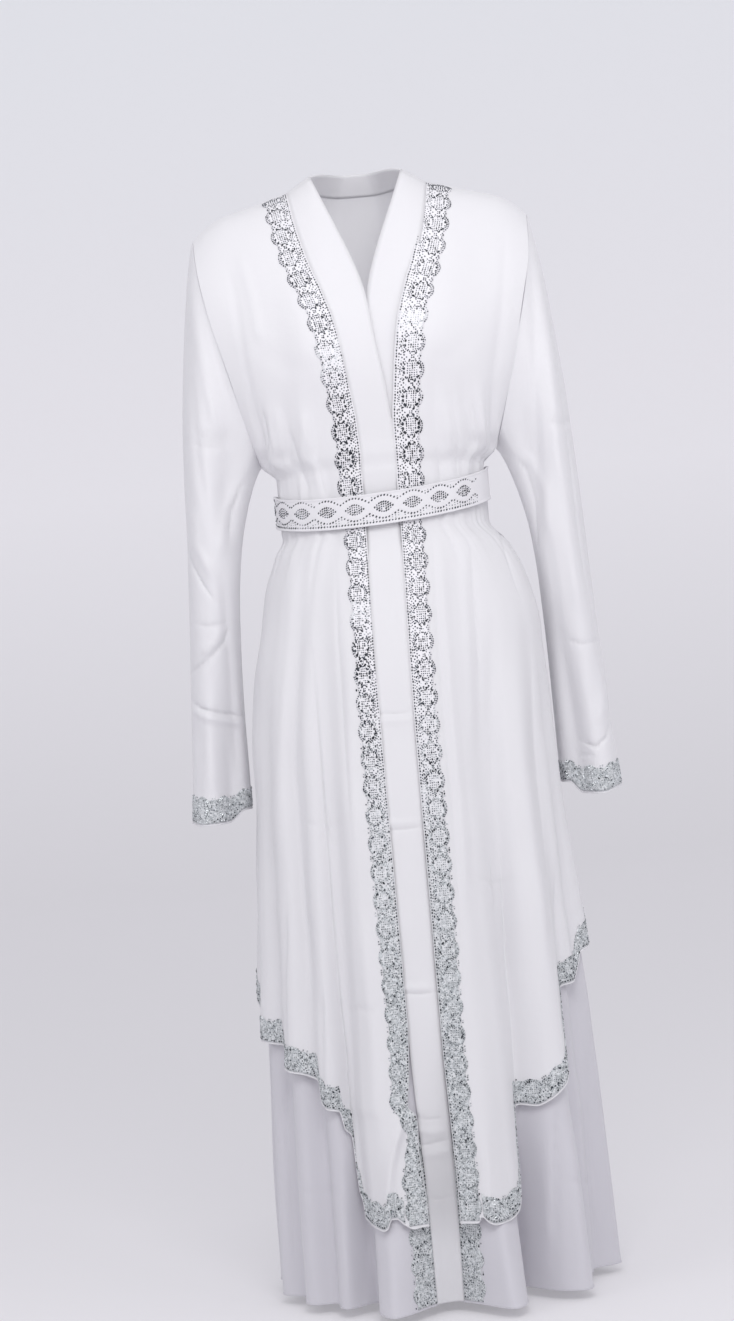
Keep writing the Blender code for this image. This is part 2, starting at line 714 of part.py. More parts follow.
def sleeve(side):
    """Points and normals of a sleeve."""
    cells = np.linspace(0, 360, SLEEVE_CELLS, endpoint=False)
    angles, places = np.meshgrid(cells, SLEEVE_PLACES)

    def point(angle, place):
        return sleeve_point(angle, place, side)

    points = point(angles, places)
    middle = points.mean(axis=1, keepdims=True)
    return points, outward(point, angles, places, STEP_ANGLE, STEP_PLACE, middle)


def belt():
    """Points and normals of the belt, which dips at the front and rises to the left."""
    angles = np.linspace(-180, 180, BELT_CELLS, endpoint=False)
    dip = BELT_SAG * np.clip(np.cos(np.radians(angles)), 0, 1)
    middle = BELT_DROP + dip - BELT_TILT * np.sin(np.radians(angles))
    rows = np.array([-0.5, 0, 0.5])[:, None] * BELT_WIDTH
    drop = np.full(angles.shape, (WAIST_TOP + WAIST_END) / 2)
    front, back = cloth_point(angles, drop), cloth_point(angles, drop, back=True)
    round_waist = np.where((np.abs(angles) <= 90)[:, None], front, back)
    depth = np.where(np.abs(angles) <= 90, section("front", drop), section("back", drop))
    normals = round_waist.copy()
    normals[:, 0] /= section("half_width", drop) ** 2
    normals[:, 1] /= depth**2
    normals[:, 2] = 0
    points = np.tile(round_waist, (3, 1, 1))
    points[..., 2] = -(middle + rows)
    return points, np.tile(unit(normals), (3, 1, 1))


def build():
    for thing in list(bpy.data.objects):
        bpy.data.objects.remove(thing, do_unlink=True)

    # Outer layer
    back = outer_back()
    add_wall("back", *back, "cloth")
    add_hem_trim("trim_hem_back", back, 0.03, BACK_CELLS - 0.03)
    add_wall("band_back_neck", *back_neck_band(*back), "cloth")
    for side, name in ((-1, "right"), (1, "left")):
        front = outer_front(side)
        add_wall(f"front_{name}", *front, "cloth")
        add_edge_trim(f"trim_front_{name}", front, 0.03)
        add_hem_trim(f"trim_hem_{name}", front, 1.03, FRONT_CELLS - 0.03)

    # Underskirt
    add_wall("underskirt_back", *under_panel(np.arange(BACK_CELLS + 1), back_angle, True), "cloth_under")
    for side, name in ((-1, "right"), (1, "left")):
        def angle_of(cell, drop, side=side):
            return side * front_angle(cell, drop)

        under = under_panel(np.arange(FRONT_CELLS + 1), angle_of, False)
        add_wall(f"underskirt_front_{name}", *under, "cloth_under")
        add_edge_trim(f"trim_underskirt_{name}", under, under[0].shape[0] - 1 - UNDER_TRIM_ROWS)

    # Front bands
    add_wall("band_right", *front_band(-1, under_point), "cloth")
    add_wall("band_left", *front_band(1, left_band_point), "cloth")

    # Sleeves
    for side, name in ((-1, "right"), (1, "left")):
        tube = sleeve(side)
        add_wall(f"sleeve_{name}", *tube, "cloth", ring=True)
        add_cuff_trim(f"trim_cuff_{name}", tube)

    # Belt
    add_wall("belt", *belt(), "belt_cloth", BELT_LIFT - BELT / 2, BELT_LIFT + BELT / 2, ring=True)


build()
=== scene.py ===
"""Looks of a white open-front abaya in two layers, with rhinestone-trimmed edges and a belt.

Units are metres, +Z is up and the front faces -Y. "Right" and "left" are the wearer's. A point of
the cloth is given by an angle round the figure, 0 at the front and +90 at the left side, and by
its drop below the shoulder line. The fine sheets follow the solids' sections and large folds, and
add the creases, gathers and stones.
"""

import math

import bpy
import numpy as np
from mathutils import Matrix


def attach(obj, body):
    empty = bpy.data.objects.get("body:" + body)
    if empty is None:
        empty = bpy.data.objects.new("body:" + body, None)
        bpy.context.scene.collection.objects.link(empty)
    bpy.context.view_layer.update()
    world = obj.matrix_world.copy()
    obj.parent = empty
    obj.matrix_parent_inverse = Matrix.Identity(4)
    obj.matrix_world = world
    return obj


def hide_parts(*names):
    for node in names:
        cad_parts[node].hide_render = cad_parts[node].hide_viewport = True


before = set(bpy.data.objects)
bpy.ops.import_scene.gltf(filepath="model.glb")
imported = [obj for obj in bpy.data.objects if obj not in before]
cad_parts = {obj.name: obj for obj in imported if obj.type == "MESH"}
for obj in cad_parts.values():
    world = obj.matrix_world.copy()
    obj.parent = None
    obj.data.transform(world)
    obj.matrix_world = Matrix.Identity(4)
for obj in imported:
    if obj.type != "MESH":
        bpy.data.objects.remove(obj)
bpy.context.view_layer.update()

# Driving sizes
SHOULDER_HALF = 0.210
NECK_HALF = 0.088
NECK_LIFT = 0.041
SHOULDER_CROWN = 0.008
SHOULDER_DROOP = 0.017
SHOULDER_ROUND = 0.045
COLLAR_HALF = 0.058
COLLAR_LIFT = 0.060
COLLAR_BACK_RISE = 0.008
COLLAR_DEPTH_SHARE = 0.80
ARMHOLE_DROP = 0.300
WAIST_TOP = 0.318
WAIST_END = 0.390
HEM_DROP = 1.322
LIFT_FADE = 0.250
BELT_DROP = 0.348
BELT_SAG = 0.020
BELT_TILT = 0.008
BELT_WIDTH = 0.039
BELT_LIFT = 0.0044
UNDER_TOP = 0.358

# Sections of the outer layer, one row for each drop. wrap is how much of an ellipse's quarter
# the section runs through: under 1 it stops short of the side, at the armhole.
SECTION_COLUMNS = ("drop", "half_width", "front", "back", "armhole", "wrap")
SECTIONS = (
    (0.000, 0.2100, 0.000, 0.065, 0.000, 0.60),
    (0.008, 0.2090, 0.030, 0.071, 0.012, 0.60),
    (0.025, 0.2080, 0.052, 0.079, 0.027, 0.60),
    (0.050, 0.2060, 0.070, 0.088, 0.041, 0.60),
    (0.080, 0.2020, 0.085, 0.096, 0.052, 0.60),
    (0.120, 0.1940, 0.100, 0.103, 0.061, 0.62),
    (0.160, 0.1840, 0.110, 0.105, 0.064, 0.66),
    (0.200, 0.1740, 0.112, 0.102, 0.060, 0.72),
    (0.250, 0.1610, 0.107, 0.096, 0.044, 0.84),
    (0.280, 0.1530, 0.102, 0.093, 0.027, 0.94),
    (0.300, 0.1470, 0.099, 0.091, 0.000, 1.00),
    (0.318, 0.1295, 0.0935, 0.0890, 0.000, 1.00),
    (0.390, 0.1295, 0.0935, 0.0890, 0.000, 1.00),
    (0.415, 0.1460, 0.102, 0.104, 0.000, 1.00),
    (0.460, 0.1645, 0.114, 0.128, 0.000, 1.00),
    (0.530, 0.1785, 0.128, 0.143, 0.000, 1.00),
    (0.620, 0.1865, 0.139, 0.152, 0.000, 1.00),
    (0.730, 0.1910, 0.149, 0.160, 0.000, 1.00),
    (0.850, 0.1980, 0.159, 0.168, 0.000, 1.00),
    (1.000, 0.2060, 0.170, 0.178, 0.000, 1.00),
    (1.222, 0.2120, 0.184, 0.192, 0.000, 1.00),
    (1.322, 0.2130, 0.190, 0.196, 0.000, 1.00),
)

# How far the sides of the hips lie towards the left sleeve, by drop
SIDE_SHIFT = ((0.385, 0.0), (0.435, 0.008), (0.500, 0.009), (0.560, 0.004), (0.640, 0.0))

# Half the distance between the straight edges of the two fronts, by drop
FRONT_EDGE = (
    (0.000, 0.0880), (0.043, 0.0795), (0.087, 0.0662), (0.119, 0.0527), (0.150, 0.0415),
    (0.191, 0.0336), (0.230, 0.0284), (0.261, 0.0246), (0.327, 0.0221), (0.400, 0.0214),
    (1.322, 0.0186),
)

# The free edge of a front band, measured across from its own side, by drop. It starts beside
# the neck, reaches the middle at the foot of the V and ends near the other front's edge.
FREE_EDGE = (
    (0.000, -0.0580), (0.125, 0.0000), (0.161, 0.0048), (0.233, 0.0154), (0.310, 0.0205),
    (0.400, 0.0202), (1.322, 0.0174),
)

# How wide the front edges' trim is: the drop and the width
TRIM_WIDTHS = (
    (0.000, 0.0320), (0.300, 0.0320), (0.420, 0.0285), (0.850, 0.0270), (1.050, 0.0245),
    (1.322, 0.0240),
)

# Folds shared by both layers. A positive depth is a ridge, a negative one a valley. Both are
# depths at the foot of the skirt, and a fold grows from its start drop downwards.
# Columns: angle, half angle, depth, start.
FOLDS = (
    (-15, 13, 0.018, 0.42),
    (-29, 7, -0.020, 0.45),
    (-37, 6, 0.006, 0.50),
    (-45, 6, -0.010, 0.45),
    (-54, 8, 0.010, 0.45),
    (-64, 7, -0.010, 0.60),
    (-75, 8, 0.010, 0.70),
    (-88, 8, -0.012, 0.72),
    (-102, 9, 0.012, 0.74),
    (-116, 9, -0.020, 0.45),
    (-131, 10, 0.020, 0.45),
    (-147, 10, -0.022, 0.42),
    (-162, 10, 0.020, 0.42),
    (-177, 10, -0.022, 0.42),
    (168, 10, 0.022, 0.42),
    (152, 10, -0.020, 0.42),
    (136, 10, 0.020, 0.45),
    (121, 9, -0.018, 0.48),
    (107, 9, 0.012, 0.74),
    (94, 8, -0.010, 0.72),
    (82, 8, 0.018, 0.60),
    (71, 7, -0.012, 0.60),
    (61, 8, -0.016, 0.55),
    (46, 11, 0.022, 0.50),
    (32, 9, -0.024, 0.42),
    (14, 12, 0.018, 0.42),
)

# Further folds of the underskirt, which show below the outer hem
UNDER_FOLDS = (
    (2, 20, -0.027, 1.02),
    (-18, 11, 0.020, 1.215),
    (20, 10, 0.030, 1.215),
    (46, 12, 0.012, 1.090),
    (32, 7, -0.040, 1.120),
    (-30, 7, -0.010, 1.120),
)

# Gathers of the bodice, drawn in by the belt
# Columns: angle, half angle, depth.
GATHERS = (
    (-38, 7, 0.005), (-50, 7, -0.005), (-61, 7, 0.006), (-74, 7, -0.005), (36, 7, 0.005),
    (49, 7, -0.005), (60, 7, 0.006), (73, 7, -0.005), (120, 9, 0.006), (138, 9, -0.005),
    (158, 9, 0.006), (180, 11, -0.005), (-158, 9, 0.006), (-138, 9, -0.005), (-120, 9, 0.006),
)
GATHER_TOP = 0.200
GATHER_FULL = 0.292

# The outer hem's drop by angle. It is lowest at the front and rises in steps to the sides.
OUTER_HEM = (
    (-180, 0.862), (-150, 0.845), (-120, 0.855), (-105, 0.930), (-92, 0.996), (-80, 1.007),
    (-66, 1.012), (-63.4, 1.013), (-62.4, 1.037), (-56, 1.039), (-50, 1.042), (-46, 1.047),
    (-41.4, 1.053), (-40.4, 1.077), (-37.5, 1.083), (-33.4, 1.087), (-32.5, 1.109), (-31.1, 1.120),
    (-30.3, 1.180), (-28.9, 1.198), (-28.1, 1.217), (-23, 1.221), (-18.5, 1.224), (-17.2, 1.221),
    (-16.0, 1.211), (-14.4, 1.211), (-12, 1.218), (-9.3, 1.224), (-7.5, 1.223), (7.5, 1.223),
    (10.2, 1.223), (11.6, 1.216), (13.4, 1.223), (16, 1.227), (20.5, 1.226), (25, 1.219),
    (27.6, 1.205), (29.0, 1.160), (29.8, 1.101), (33, 1.099), (37.0, 1.101), (40, 1.095),
    (43, 1.087), (47, 1.074), (50.5, 1.052), (53.5, 1.005), (55.5, 0.976), (60, 0.969), (66, 0.966),
    (71, 0.961), (74.5, 0.944), (76, 0.932), (82, 0.926), (84, 0.906), (90, 0.890), (98, 0.862),
    (120, 0.838), (150, 0.840), (180, 0.862),
)

# How far the underskirt lies inside the outer layer at the side, by drop
INSET = ((0.358, 0.0027), (0.450, 0.0045), (0.600, 0.0075), (0.850, 0.0105), (1.322, 0.0120))
INSET_LEAST = 0.0027
INSET_FRONT_SHARE = 0.50
INSET_FRONT_ANGLE = 9.0
INSET_SIDE_ANGLE = 34.0

# The sleeve from the armhole (place 0) to the cuff (place 1): its outer and its inner line in
# the plane y = 0, and its half depth and middle along Y.
SLEEVE_COLUMNS = ("place", "outer_x", "outer_z", "inner_x", "inner_z", "half_depth", "middle_y")
SLEEVE = (
    (0.00, 0.2100, 0.000, 0.1490, -0.300, 0.050, 0.000),
    (0.08, 0.2225, -0.050, 0.1600, -0.312, 0.054, 0.002),
    (0.20, 0.2340, -0.135, 0.1715, -0.345, 0.059, 0.008),
    (0.35, 0.2430, -0.250, 0.1820, -0.400, 0.062, 0.018),
    (0.50, 0.2500, -0.370, 0.1900, -0.470, 0.060, 0.028),
    (0.65, 0.2570, -0.490, 0.1940, -0.545, 0.058, 0.036),
    (0.80, 0.2640, -0.610, 0.1955, -0.630, 0.056, 0.042),
    (1.00, 0.2730, -0.742, 0.1965, -0.738, 0.054, 0.046),
)
ARMHOLE_BLEND = 0.35
SLEEVE_GAP = 0.0004

# Folds along the sleeve: the angle runs round it, 0 on its outer line and 90 at its front
# Columns: angle, half angle, depth, peak, reach.
SLEEVE_FOLDS = (
    (128, 44, -0.020, 0.24, 0.24),
    (60, 40, 0.006, 0.30, 0.30),
    (118, 40, -0.014, 1.00, 0.60),
    (60, 40, 0.006, 1.00, 0.50),
    (-60, 44, -0.010, 0.75, 0.60),
    (-130, 44, -0.016, 0.28, 0.26),
    (-110, 40, 0.006, 0.90, 0.50),
)

# Steps of the differences that give a band's normals
STEP_ANGLE = 0.05
STEP_DROP = 0.0002

# How softly a fold of the skirt starts, and the power by which it grows downwards
FOLD_START, FOLD_POWER = 0.012, 0.9

# The chest's fullness: its depth, its place across and its drop, how far it reaches across,
# above and below, and the drop by which it is there in full
BUST_DEPTH, BUST_ACROSS, BUST_DROP = 0.017, 0.080, 0.165
BUST_HALF, BUST_ABOVE, BUST_BELOW = 0.050, 0.065, 0.050
BUST_START = 0.05

# The share of its depth that the back reaches below the shoulder seam, by drop
BACK_REACH = ((0.0, 0.0), (0.008, 0.42), (0.025, 0.72), (0.05, 0.92), (0.08, 1.0))
NECK_SHARE = 0.2


def column(table, columns, name):
    """One named column of a table, as an array."""
    return np.array([row[columns.index(name)] for row in table], float)


def smooth(xs, ys, x):
    """A curve through the points (xs, ys) that doesn't overshoot them, read at x."""
    xs, ys = np.asarray(xs, float), np.asarray(ys, float)
    x = np.clip(x, xs[0], xs[-1])
    width = np.diff(xs)
    slope = np.diff(ys) / width
    tangent = np.zeros(len(xs))
    product = slope[:-1] * slope[1:]
    both = np.where(product > 0, slope[:-1] + slope[1:], 1.0)
    tangent[1:-1] = np.where(product > 0, 2 * product / both, 0.0)
    tangent[0], tangent[-1] = slope[0], slope[-1]
    i = np.clip(np.searchsorted(xs, x, side="right") - 1, 0, len(xs) - 2)
    t = (x - xs[i]) / width[i]
    start = ys[i] * (1 + 2 * t) * (1 - t) ** 2 + tangent[i] * width[i] * t * (1 - t) ** 2
    end = ys[i + 1] * t**2 * (3 - 2 * t) - tangent[i + 1] * width[i] * t**2 * (1 - t)
    return start + end


def ease(t):
    """0 below 0, 1 above 1, and smooth between."""
    t = np.clip(t, 0.0, 1.0)
    return t * t * (3 - 2 * t)


def bump(distance, half_width):
    """1 at no distance, falling smoothly to 0 at half_width."""
    return np.cos(0.5 * math.pi * np.clip(distance / half_width, -1, 1)) ** 2


def turn(angle, centre):
    """The signed angle from centre, between -180 and 180 degrees."""
    return (angle - centre + 180.0) % 360.0 - 180.0


def section(name, drop):
    """One size of the outer layer's section at a drop."""
    drops = column(SECTIONS, SECTION_COLUMNS, "drop")
    return smooth(drops, column(SECTIONS, SECTION_COLUMNS, name), drop)


def read(table, at):
    """A table of two columns, read as a smooth curve."""
    return smooth(*np.transpose(table), at)


def front_edge(drop):
    return read(FRONT_EDGE, drop)


def trim_width(drop):
    return read(TRIM_WIDTHS, drop)


def outer_hem(angle):
    return read(OUTER_HEM, turn(angle, 0.0))


def arrays(*values):
    """Values as float arrays of one shape."""
    return np.broadcast_arrays(*(np.asarray(value, float) for value in values))


def angle_at(x, drop):
    """The angle, on the front, at which the section has this x."""
    wrap = section("wrap", drop)
    share = np.clip(x / section("half_width", drop), -1, 1) * np.sin(wrap * math.pi / 2)
    return np.degrees(np.arcsin(share) / wrap)


def fold_depth(angle, drop, table):
    """The sum of a table's folds at a point, outwards."""
    total = np.zeros(angle.shape)
    for centre, half_angle, depth, start in table:
        t = (drop - start) / (HEM_DROP - start)
        grown = np.clip((t + np.sqrt(t * t + FOLD_START)) / 2, 0, 1)
        total += depth * grown**FOLD_POWER * bump(turn(angle, centre), half_angle)
    return total


def gather_depth(angle, drop):
    """The gathers of the bodice, which die out where the waist begins."""
    grown = ease((drop - GATHER_TOP) / (GATHER_FULL - GATHER_TOP))
    grown = grown * (1 - ease((drop - GATHER_FULL) / (WAIST_TOP - GATHER_FULL)))
    total = np.zeros(angle.shape)
    for centre, half_angle, depth in GATHERS:
        total += depth * grown * bump(turn(angle, centre), half_angle)
    return total


def bust_fullness(x, drop):
    """Fullness of a general figure's chest, above and below its fullest line."""
    reach = np.where(drop > BUST_DROP, BUST_BELOW, BUST_ABOVE)
    across = np.exp(-(((np.abs(x) - BUST_ACROSS) / BUST_HALF) ** 2))
    along = np.exp(-(((drop - BUST_DROP) / reach) ** 2))
    return BUST_DEPTH * across * along * ease(drop / BUST_START)


def shoulder_lift(x, drop, back):
    """How far the cloth lies above its drop, on the slope from the shoulder tip to the neck.
    Inside the neck's side the front climbs on, and the back stays level."""
    side = np.abs(x)
    share = np.clip((SHOULDER_HALF - side) / (SHOULDER_HALF - NECK_HALF), 0, 1)
    beyond = np.clip(1 - (SHOULDER_HALF - side) / SHOULDER_ROUND, 0, 1)
    lift = SHOULDER_CROWN + (NECK_LIFT - SHOULDER_CROWN) * share - SHOULDER_DROOP * beyond**2
    climb = (COLLAR_LIFT - NECK_LIFT) / (NECK_HALF - COLLAR_HALF)
    inner = NECK_LIFT if back else NECK_LIFT + climb * (NECK_HALF - np.maximum(side, COLLAR_HALF))
    return np.where(side < NECK_HALF, inner, lift) * np.clip(1 - drop / LIFT_FADE, 0, 1) ** 2


def cloth_point(angle, drop, back=False, inset=0.0, extra=()):
    """A point of the cloth. inset moves it inwards, and extra is a further table of folds."""
    angle, drop = arrays(angle, drop)
    half_width = section("half_width", drop)
    depth = section("back" if back else "front", drop)
    armhole = section("armhole", drop)
    wrap = section("wrap", drop) * math.pi / 2
    from_middle = turn(angle, 180.0 if back else 0.0)
    turned = np.clip(np.radians(np.abs(from_middle)) * section("wrap", drop), 0, wrap)
    across = np.sin(turned) / np.sin(wrap) * np.sign(from_middle) * (-1 if back else 1)
    forward = (np.cos(turned) - np.cos(wrap)) / (1 - np.cos(wrap))
    x = half_width * across
    y = armhole + (depth - armhole) * forward
    if back:
        reached = np.interp(drop, *np.transpose(BACK_REACH))
        off_neck = ease((np.abs(x) - NECK_SHARE * NECK_HALF) / ((1 - NECK_SHARE) * NECK_HALF))
        y = y * (1 - (1 - reached) * off_neck)
    else:
        y = y + bust_fullness(x, drop)
    side_x, side_y = depth * np.abs(across), half_width * np.maximum(forward, 0)
    length = np.sqrt(side_x**2 + side_y**2) + 1e-9
    out = fold_depth(angle, drop, FOLDS + tuple(extra)) + gather_depth(angle, drop) - inset
    x = x + out * np.sign(across) * side_x / length + read(SIDE_SHIFT, drop) * across**2
    y = y + out * side_y / length
    return np.stack([x, y if back else -y, shoulder_lift(x, drop, back) - drop], axis=-1)


def under_inset(angle, drop):
    """How far the underskirt lies inside the outer layer: least at the front."""
    span = INSET_SIDE_ANGLE - INSET_FRONT_ANGLE
    from_front = (np.abs(turn(angle, 0.0)) - INSET_FRONT_ANGLE) / span
    share = INSET_FRONT_SHARE + (1 - INSET_FRONT_SHARE) * ease(from_front)
    return np.maximum(INSET_LEAST, share * read(INSET, drop))


def under_point(angle, drop, back=False, behind=0.0):
    """A point of the underskirt, of a band that is sewn to it, or of a layer behind them."""
    angle, drop = arrays(angle, drop)
    inset = ease((drop - WAIST_TOP) / (UNDER_TOP - WAIST_TOP)) * under_inset(angle, drop)
    return cloth_point(angle, drop, back, inset + behind, UNDER_FOLDS)


def sleeve_point(angle, place, side, more=0.0):
    """A point of a sleeve. side is +1 for the left sleeve and -1 for the right one, and more
    moves it out."""
    angle, place = arrays(angle, place)
    places = column(SLEEVE, SLEEVE_COLUMNS, "place")
    size = {n: smooth(places, column(SLEEVE, SLEEVE_COLUMNS, n), place) for n in SLEEVE_COLUMNS[1:]}
    lengthwise, forward = np.cos(np.radians(angle)), np.sin(np.radians(angle))
    out = np.zeros(angle.shape) + more
    for centre, half_angle, depth, peak, reach in SLEEVE_FOLDS:
        out += depth * bump(place - peak, reach) * bump(turn(angle, centre), half_angle)
    share = 1 + out / size["half_depth"]
    half_x = (size["outer_x"] - size["inner_x"]) / 2
    half_z = (size["outer_z"] - size["inner_z"]) / 2
    x = size["inner_x"] + half_x + half_x * lengthwise * share
    y = size["middle_y"] - size["half_depth"] * forward * share
    z = size["inner_z"] + half_z + half_z * lengthwise
    drop = ARMHOLE_DROP / 2 * (1 - lengthwise)
    front, back = cloth_point(90.0, drop), cloth_point(90.0, drop, back=True)
    hole = np.where((forward > 0)[..., None], front, back) + np.array([SLEEVE_GAP, 0, 0])
    blend = ease(place / ARMHOLE_BLEND)[..., None]
    return (hole * (1 - blend) + np.stack([x, y, z], axis=-1) * blend) * np.array([side, 1, 1])


# The camera stands level, as high as the garment's middle, and is rolled as in the photo. The
# front view that the creases are placed in has a scale, an origin and the same roll.
CAMERA_AT = (-0.036, -3.2, -0.551)
CAMERA_LENS = 69.5
CAMERA_ROLL = 4.8
VIEW_SCALE = 797.0
VIEW_ORIGIN = (339.0, 250.0)
ROLL_COS, ROLL_SIN = 0.9965, 0.0837


def in_view(points):
    """Where points appear in the front view, to the right and down, in steps of 1.25 mm."""
    near = -CAMERA_AT[1] / (points[..., 1] - CAMERA_AT[1])
    x = CAMERA_AT[0] + (points[..., 0] - CAMERA_AT[0]) * near
    z = CAMERA_AT[2] + (points[..., 2] - CAMERA_AT[2]) * near
    right, down = VIEW_ORIGIN[0] + VIEW_SCALE * x, VIEW_ORIGIN[1] - VIEW_SCALE * z
    return ROLL_COS * right + ROLL_SIN * down, ROLL_COS * down - ROLL_SIN * right


# Creases seen from the front, each a line of points to the right and down in the front view.
# depth is in millimetres, outwards if positive. width is half the crease's width. A sharp
# crease comes to an edge, a soft one is rounded. One with a step falls away on one side only.
# Columns: depth, width, kind, line.
FRONT_CREASES = (
    (-4.5, 7, "soft", ((303, 560), (298, 640), (291, 767), (301, 900), (313, 993), (322, 1050))),
    (3.0, 8, "soft", ((296, 540), (294, 640), (282, 760), (280, 880))),
    (-6.0, 5.5, "step",
     ((312, 650), (318, 740), (326, 850), (338, 997), (347, 1070), (355, 1161), (366, 1260))),
    (-4.5, 6.0, "step", ((522, 1200), (518, 1120), (511, 1010), (505, 900), (502, 820))),
    (-4.0, 5.0, "step", ((574, 1110), (567, 1040), (560, 984), (557, 930), (555, 860))),
    (-3.5, 5.0, "step", ((286, 900), (284, 980), (285, 1040), (288, 1090))),
    (-3.0, 5.0, "step", ((322, 980), (322, 1040), (323, 1100), (326, 1140))),
    (3.0, 9, "soft", ((352, 560), (352, 700), (352, 860), (372, 1040), (380, 1180))),
    (-2.0, 4, "sharp", ((336, 560), (338, 640), (346, 760), (352, 840))),
    (-1.8, 4, "sharp", ((345, 1015), (358, 1009), (372, 1012), (388, 1006))),
    (-1.5, 3, "sharp", ((372, 560), (374, 600), (377, 650))),
    (3.0, 6, "soft", ((438, 525), (443, 600), (450, 700), (460, 800), (468, 930))),
    (-4.0, 4.5, "sharp", ((432, 530), (436, 610), (444, 720), (452, 810), (462, 960), (470, 1100))),
    (-4.5, 8, "soft", ((490, 590), (493, 650), (497, 800), (507, 933), (515, 1040))),
    (3.5, 8, "soft", ((512, 580), (517, 633), (523, 767), (540, 900), (548, 1010))),
    (-2.0, 3, "sharp", ((497, 520), (505, 550), (519, 597))),
    (-2.0, 4, "sharp", ((470, 540), (476, 620), (480, 700))),
    (2.2, 5, "soft", ((462, 535), (468, 640), (474, 760))),
    (-2.5, 5, "step", ((530, 640), (537, 760), (549, 900), (558, 1000))),
    (-1.4, 3, "sharp", ((474, 878), (496, 884), (520, 880))),
    (-1.2, 3, "sharp", ((300, 822), (322, 828), (346, 826))),
    (-3.0, 4, "sharp", ((262, 410), (266, 436), (273, 462))),
    (2.5, 5, "soft", ((276, 405), (282, 440), (290, 476))),
    (-2.8, 4, "sharp", ((289, 430), (299, 462), (310, 494))),
    (-1.6, 3, "sharp", ((318, 455), (322, 480), (326, 500))),
    (2.0, 5, "soft", ((300, 410), (312, 452), (322, 496))),
    (-3.0, 4, "sharp", ((472, 398), (478, 430), (484, 466))),
    (2.4, 5, "soft", ((461, 405), (466, 440), (470, 478))),
    (-2.2, 3.5, "sharp", ((452, 432), (455, 458), (458, 482))),
    (-2.0, 3.5, "sharp", ((436, 446), (439, 466), (441, 486))),
    (-0.8, 9, "soft", ((248, 330), (262, 352), (290, 368), (322, 372))),
    (-0.8, 9, "soft", ((482, 318), (470, 340), (450, 356), (424, 362))),
    (-1.4, 5, "soft", ((226, 262), (238, 320), (246, 372), (256, 420))),
    (-1.4, 5, "soft", ((506, 232), (504, 300), (498, 352), (490, 400))),
    (1.5, 6, "soft", ((238, 250), (252, 300), (262, 350))),
)

# Folds that cross a front edge's trim near its corner
CORNER_LINE = ((418, 1100), (407, 1125), (402, 1142), (396, 1165), (391, 1195), (390, 1225), (389, 1300))
CORNER_CREASES = (
    (7.0, 6.5, "step", CORNER_LINE),
    (-3.5, 6.0, "step", CORNER_LINE[::-1]),
    (-3.0, 4.0, "sharp", ((476, 1130), (479, 1170), (480, 1225), (481, 1290))),
    (2.0, 5.0, "soft", ((486, 1120), (489, 1170), (491, 1225), (492, 1290))),
)
UNDER_CREASES = (
    (-4.5, 4, "sharp", ((361, 1120), (364, 1200), (366, 1321))),
    (4.0, 7, "soft", ((346, 1120), (348, 1200), (352, 1321))),
    (-4.0, 5, "sharp", ((288, 1040), (284, 1150), (296, 1300))),
    (3.0, 7, "soft", ((304, 1080), (308, 1180), (318, 1300))),
    (-2.5, 4, "sharp", ((325, 1120), (330, 1200), (338, 1310))),
    (3.0, 7, "soft", ((388, 1230), (396, 1320), (398, 1350))),
    (-3.5, 5, "sharp", ((408, 1232), (414, 1280), (422, 1321))),
    (4.0, 8, "soft", ((500, 1200), (505, 1260), (512, 1321))),
    (-4.5, 5, "sharp", ((560, 1085), (556, 1180), (553, 1300))),
    (3.0, 7, "soft", ((575, 1060), (576, 1160), (582, 1290))),
    (-3.5, 5, "sharp", ((590, 1000), (592, 1120), (598, 1280))),
    (-3.0, 5, "sharp", ((534, 1120), (536, 1200), (540, 1300))),
    (2.5, 6, "soft", ((546, 1120), (546, 1200), (548, 1300))),
    (-1.4, 3, "sharp", ((298, 1190), (316, 1194), (340, 1190))),
    (-1.4, 3, "sharp", ((560, 1180), (580, 1184), (600, 1178))),
)
STRIP_CREASES = (
    (-1.2, 2.0, "sharp", ((376, 713), (396, 714), (416, 712))),
    (-1.5, 2.0, "sharp", ((386, 829), (404, 830), (428, 826))),
    (-2.0, 2.2, "sharp", ((402, 992), (420, 994), (438, 992))),
    (1.5, 4.0, "soft", ((402, 986), (420, 988), (438, 986))),
    (-1.6, 2.2, "sharp", ((412, 1114), (428, 1120), (446, 1117))),
    (2.0, 4.5, "soft", ((414, 1128), (430, 1132), (448, 1130))),
    (-2.2, 2.4, "sharp", ((416, 1146), (430, 1144), (450, 1139))),
    (1.8, 5.0, "soft", ((418, 1156), (432, 1154), (452, 1150))),
    (-1.0, 2.5, "sharp", ((420, 1196), (436, 1200), (456, 1196))),
    (1.0, 4.0, "soft", ((378, 720), (396, 721), (418, 719))),
    (1.2, 4.0, "soft", ((386, 822), (404, 823), (426, 820))),
    (-0.8, 3, "soft", ((395, 560), (400, 600), (404, 650))),
    (-0.8, 3, "soft", ((416, 880), (420, 930), (424, 980))),
)
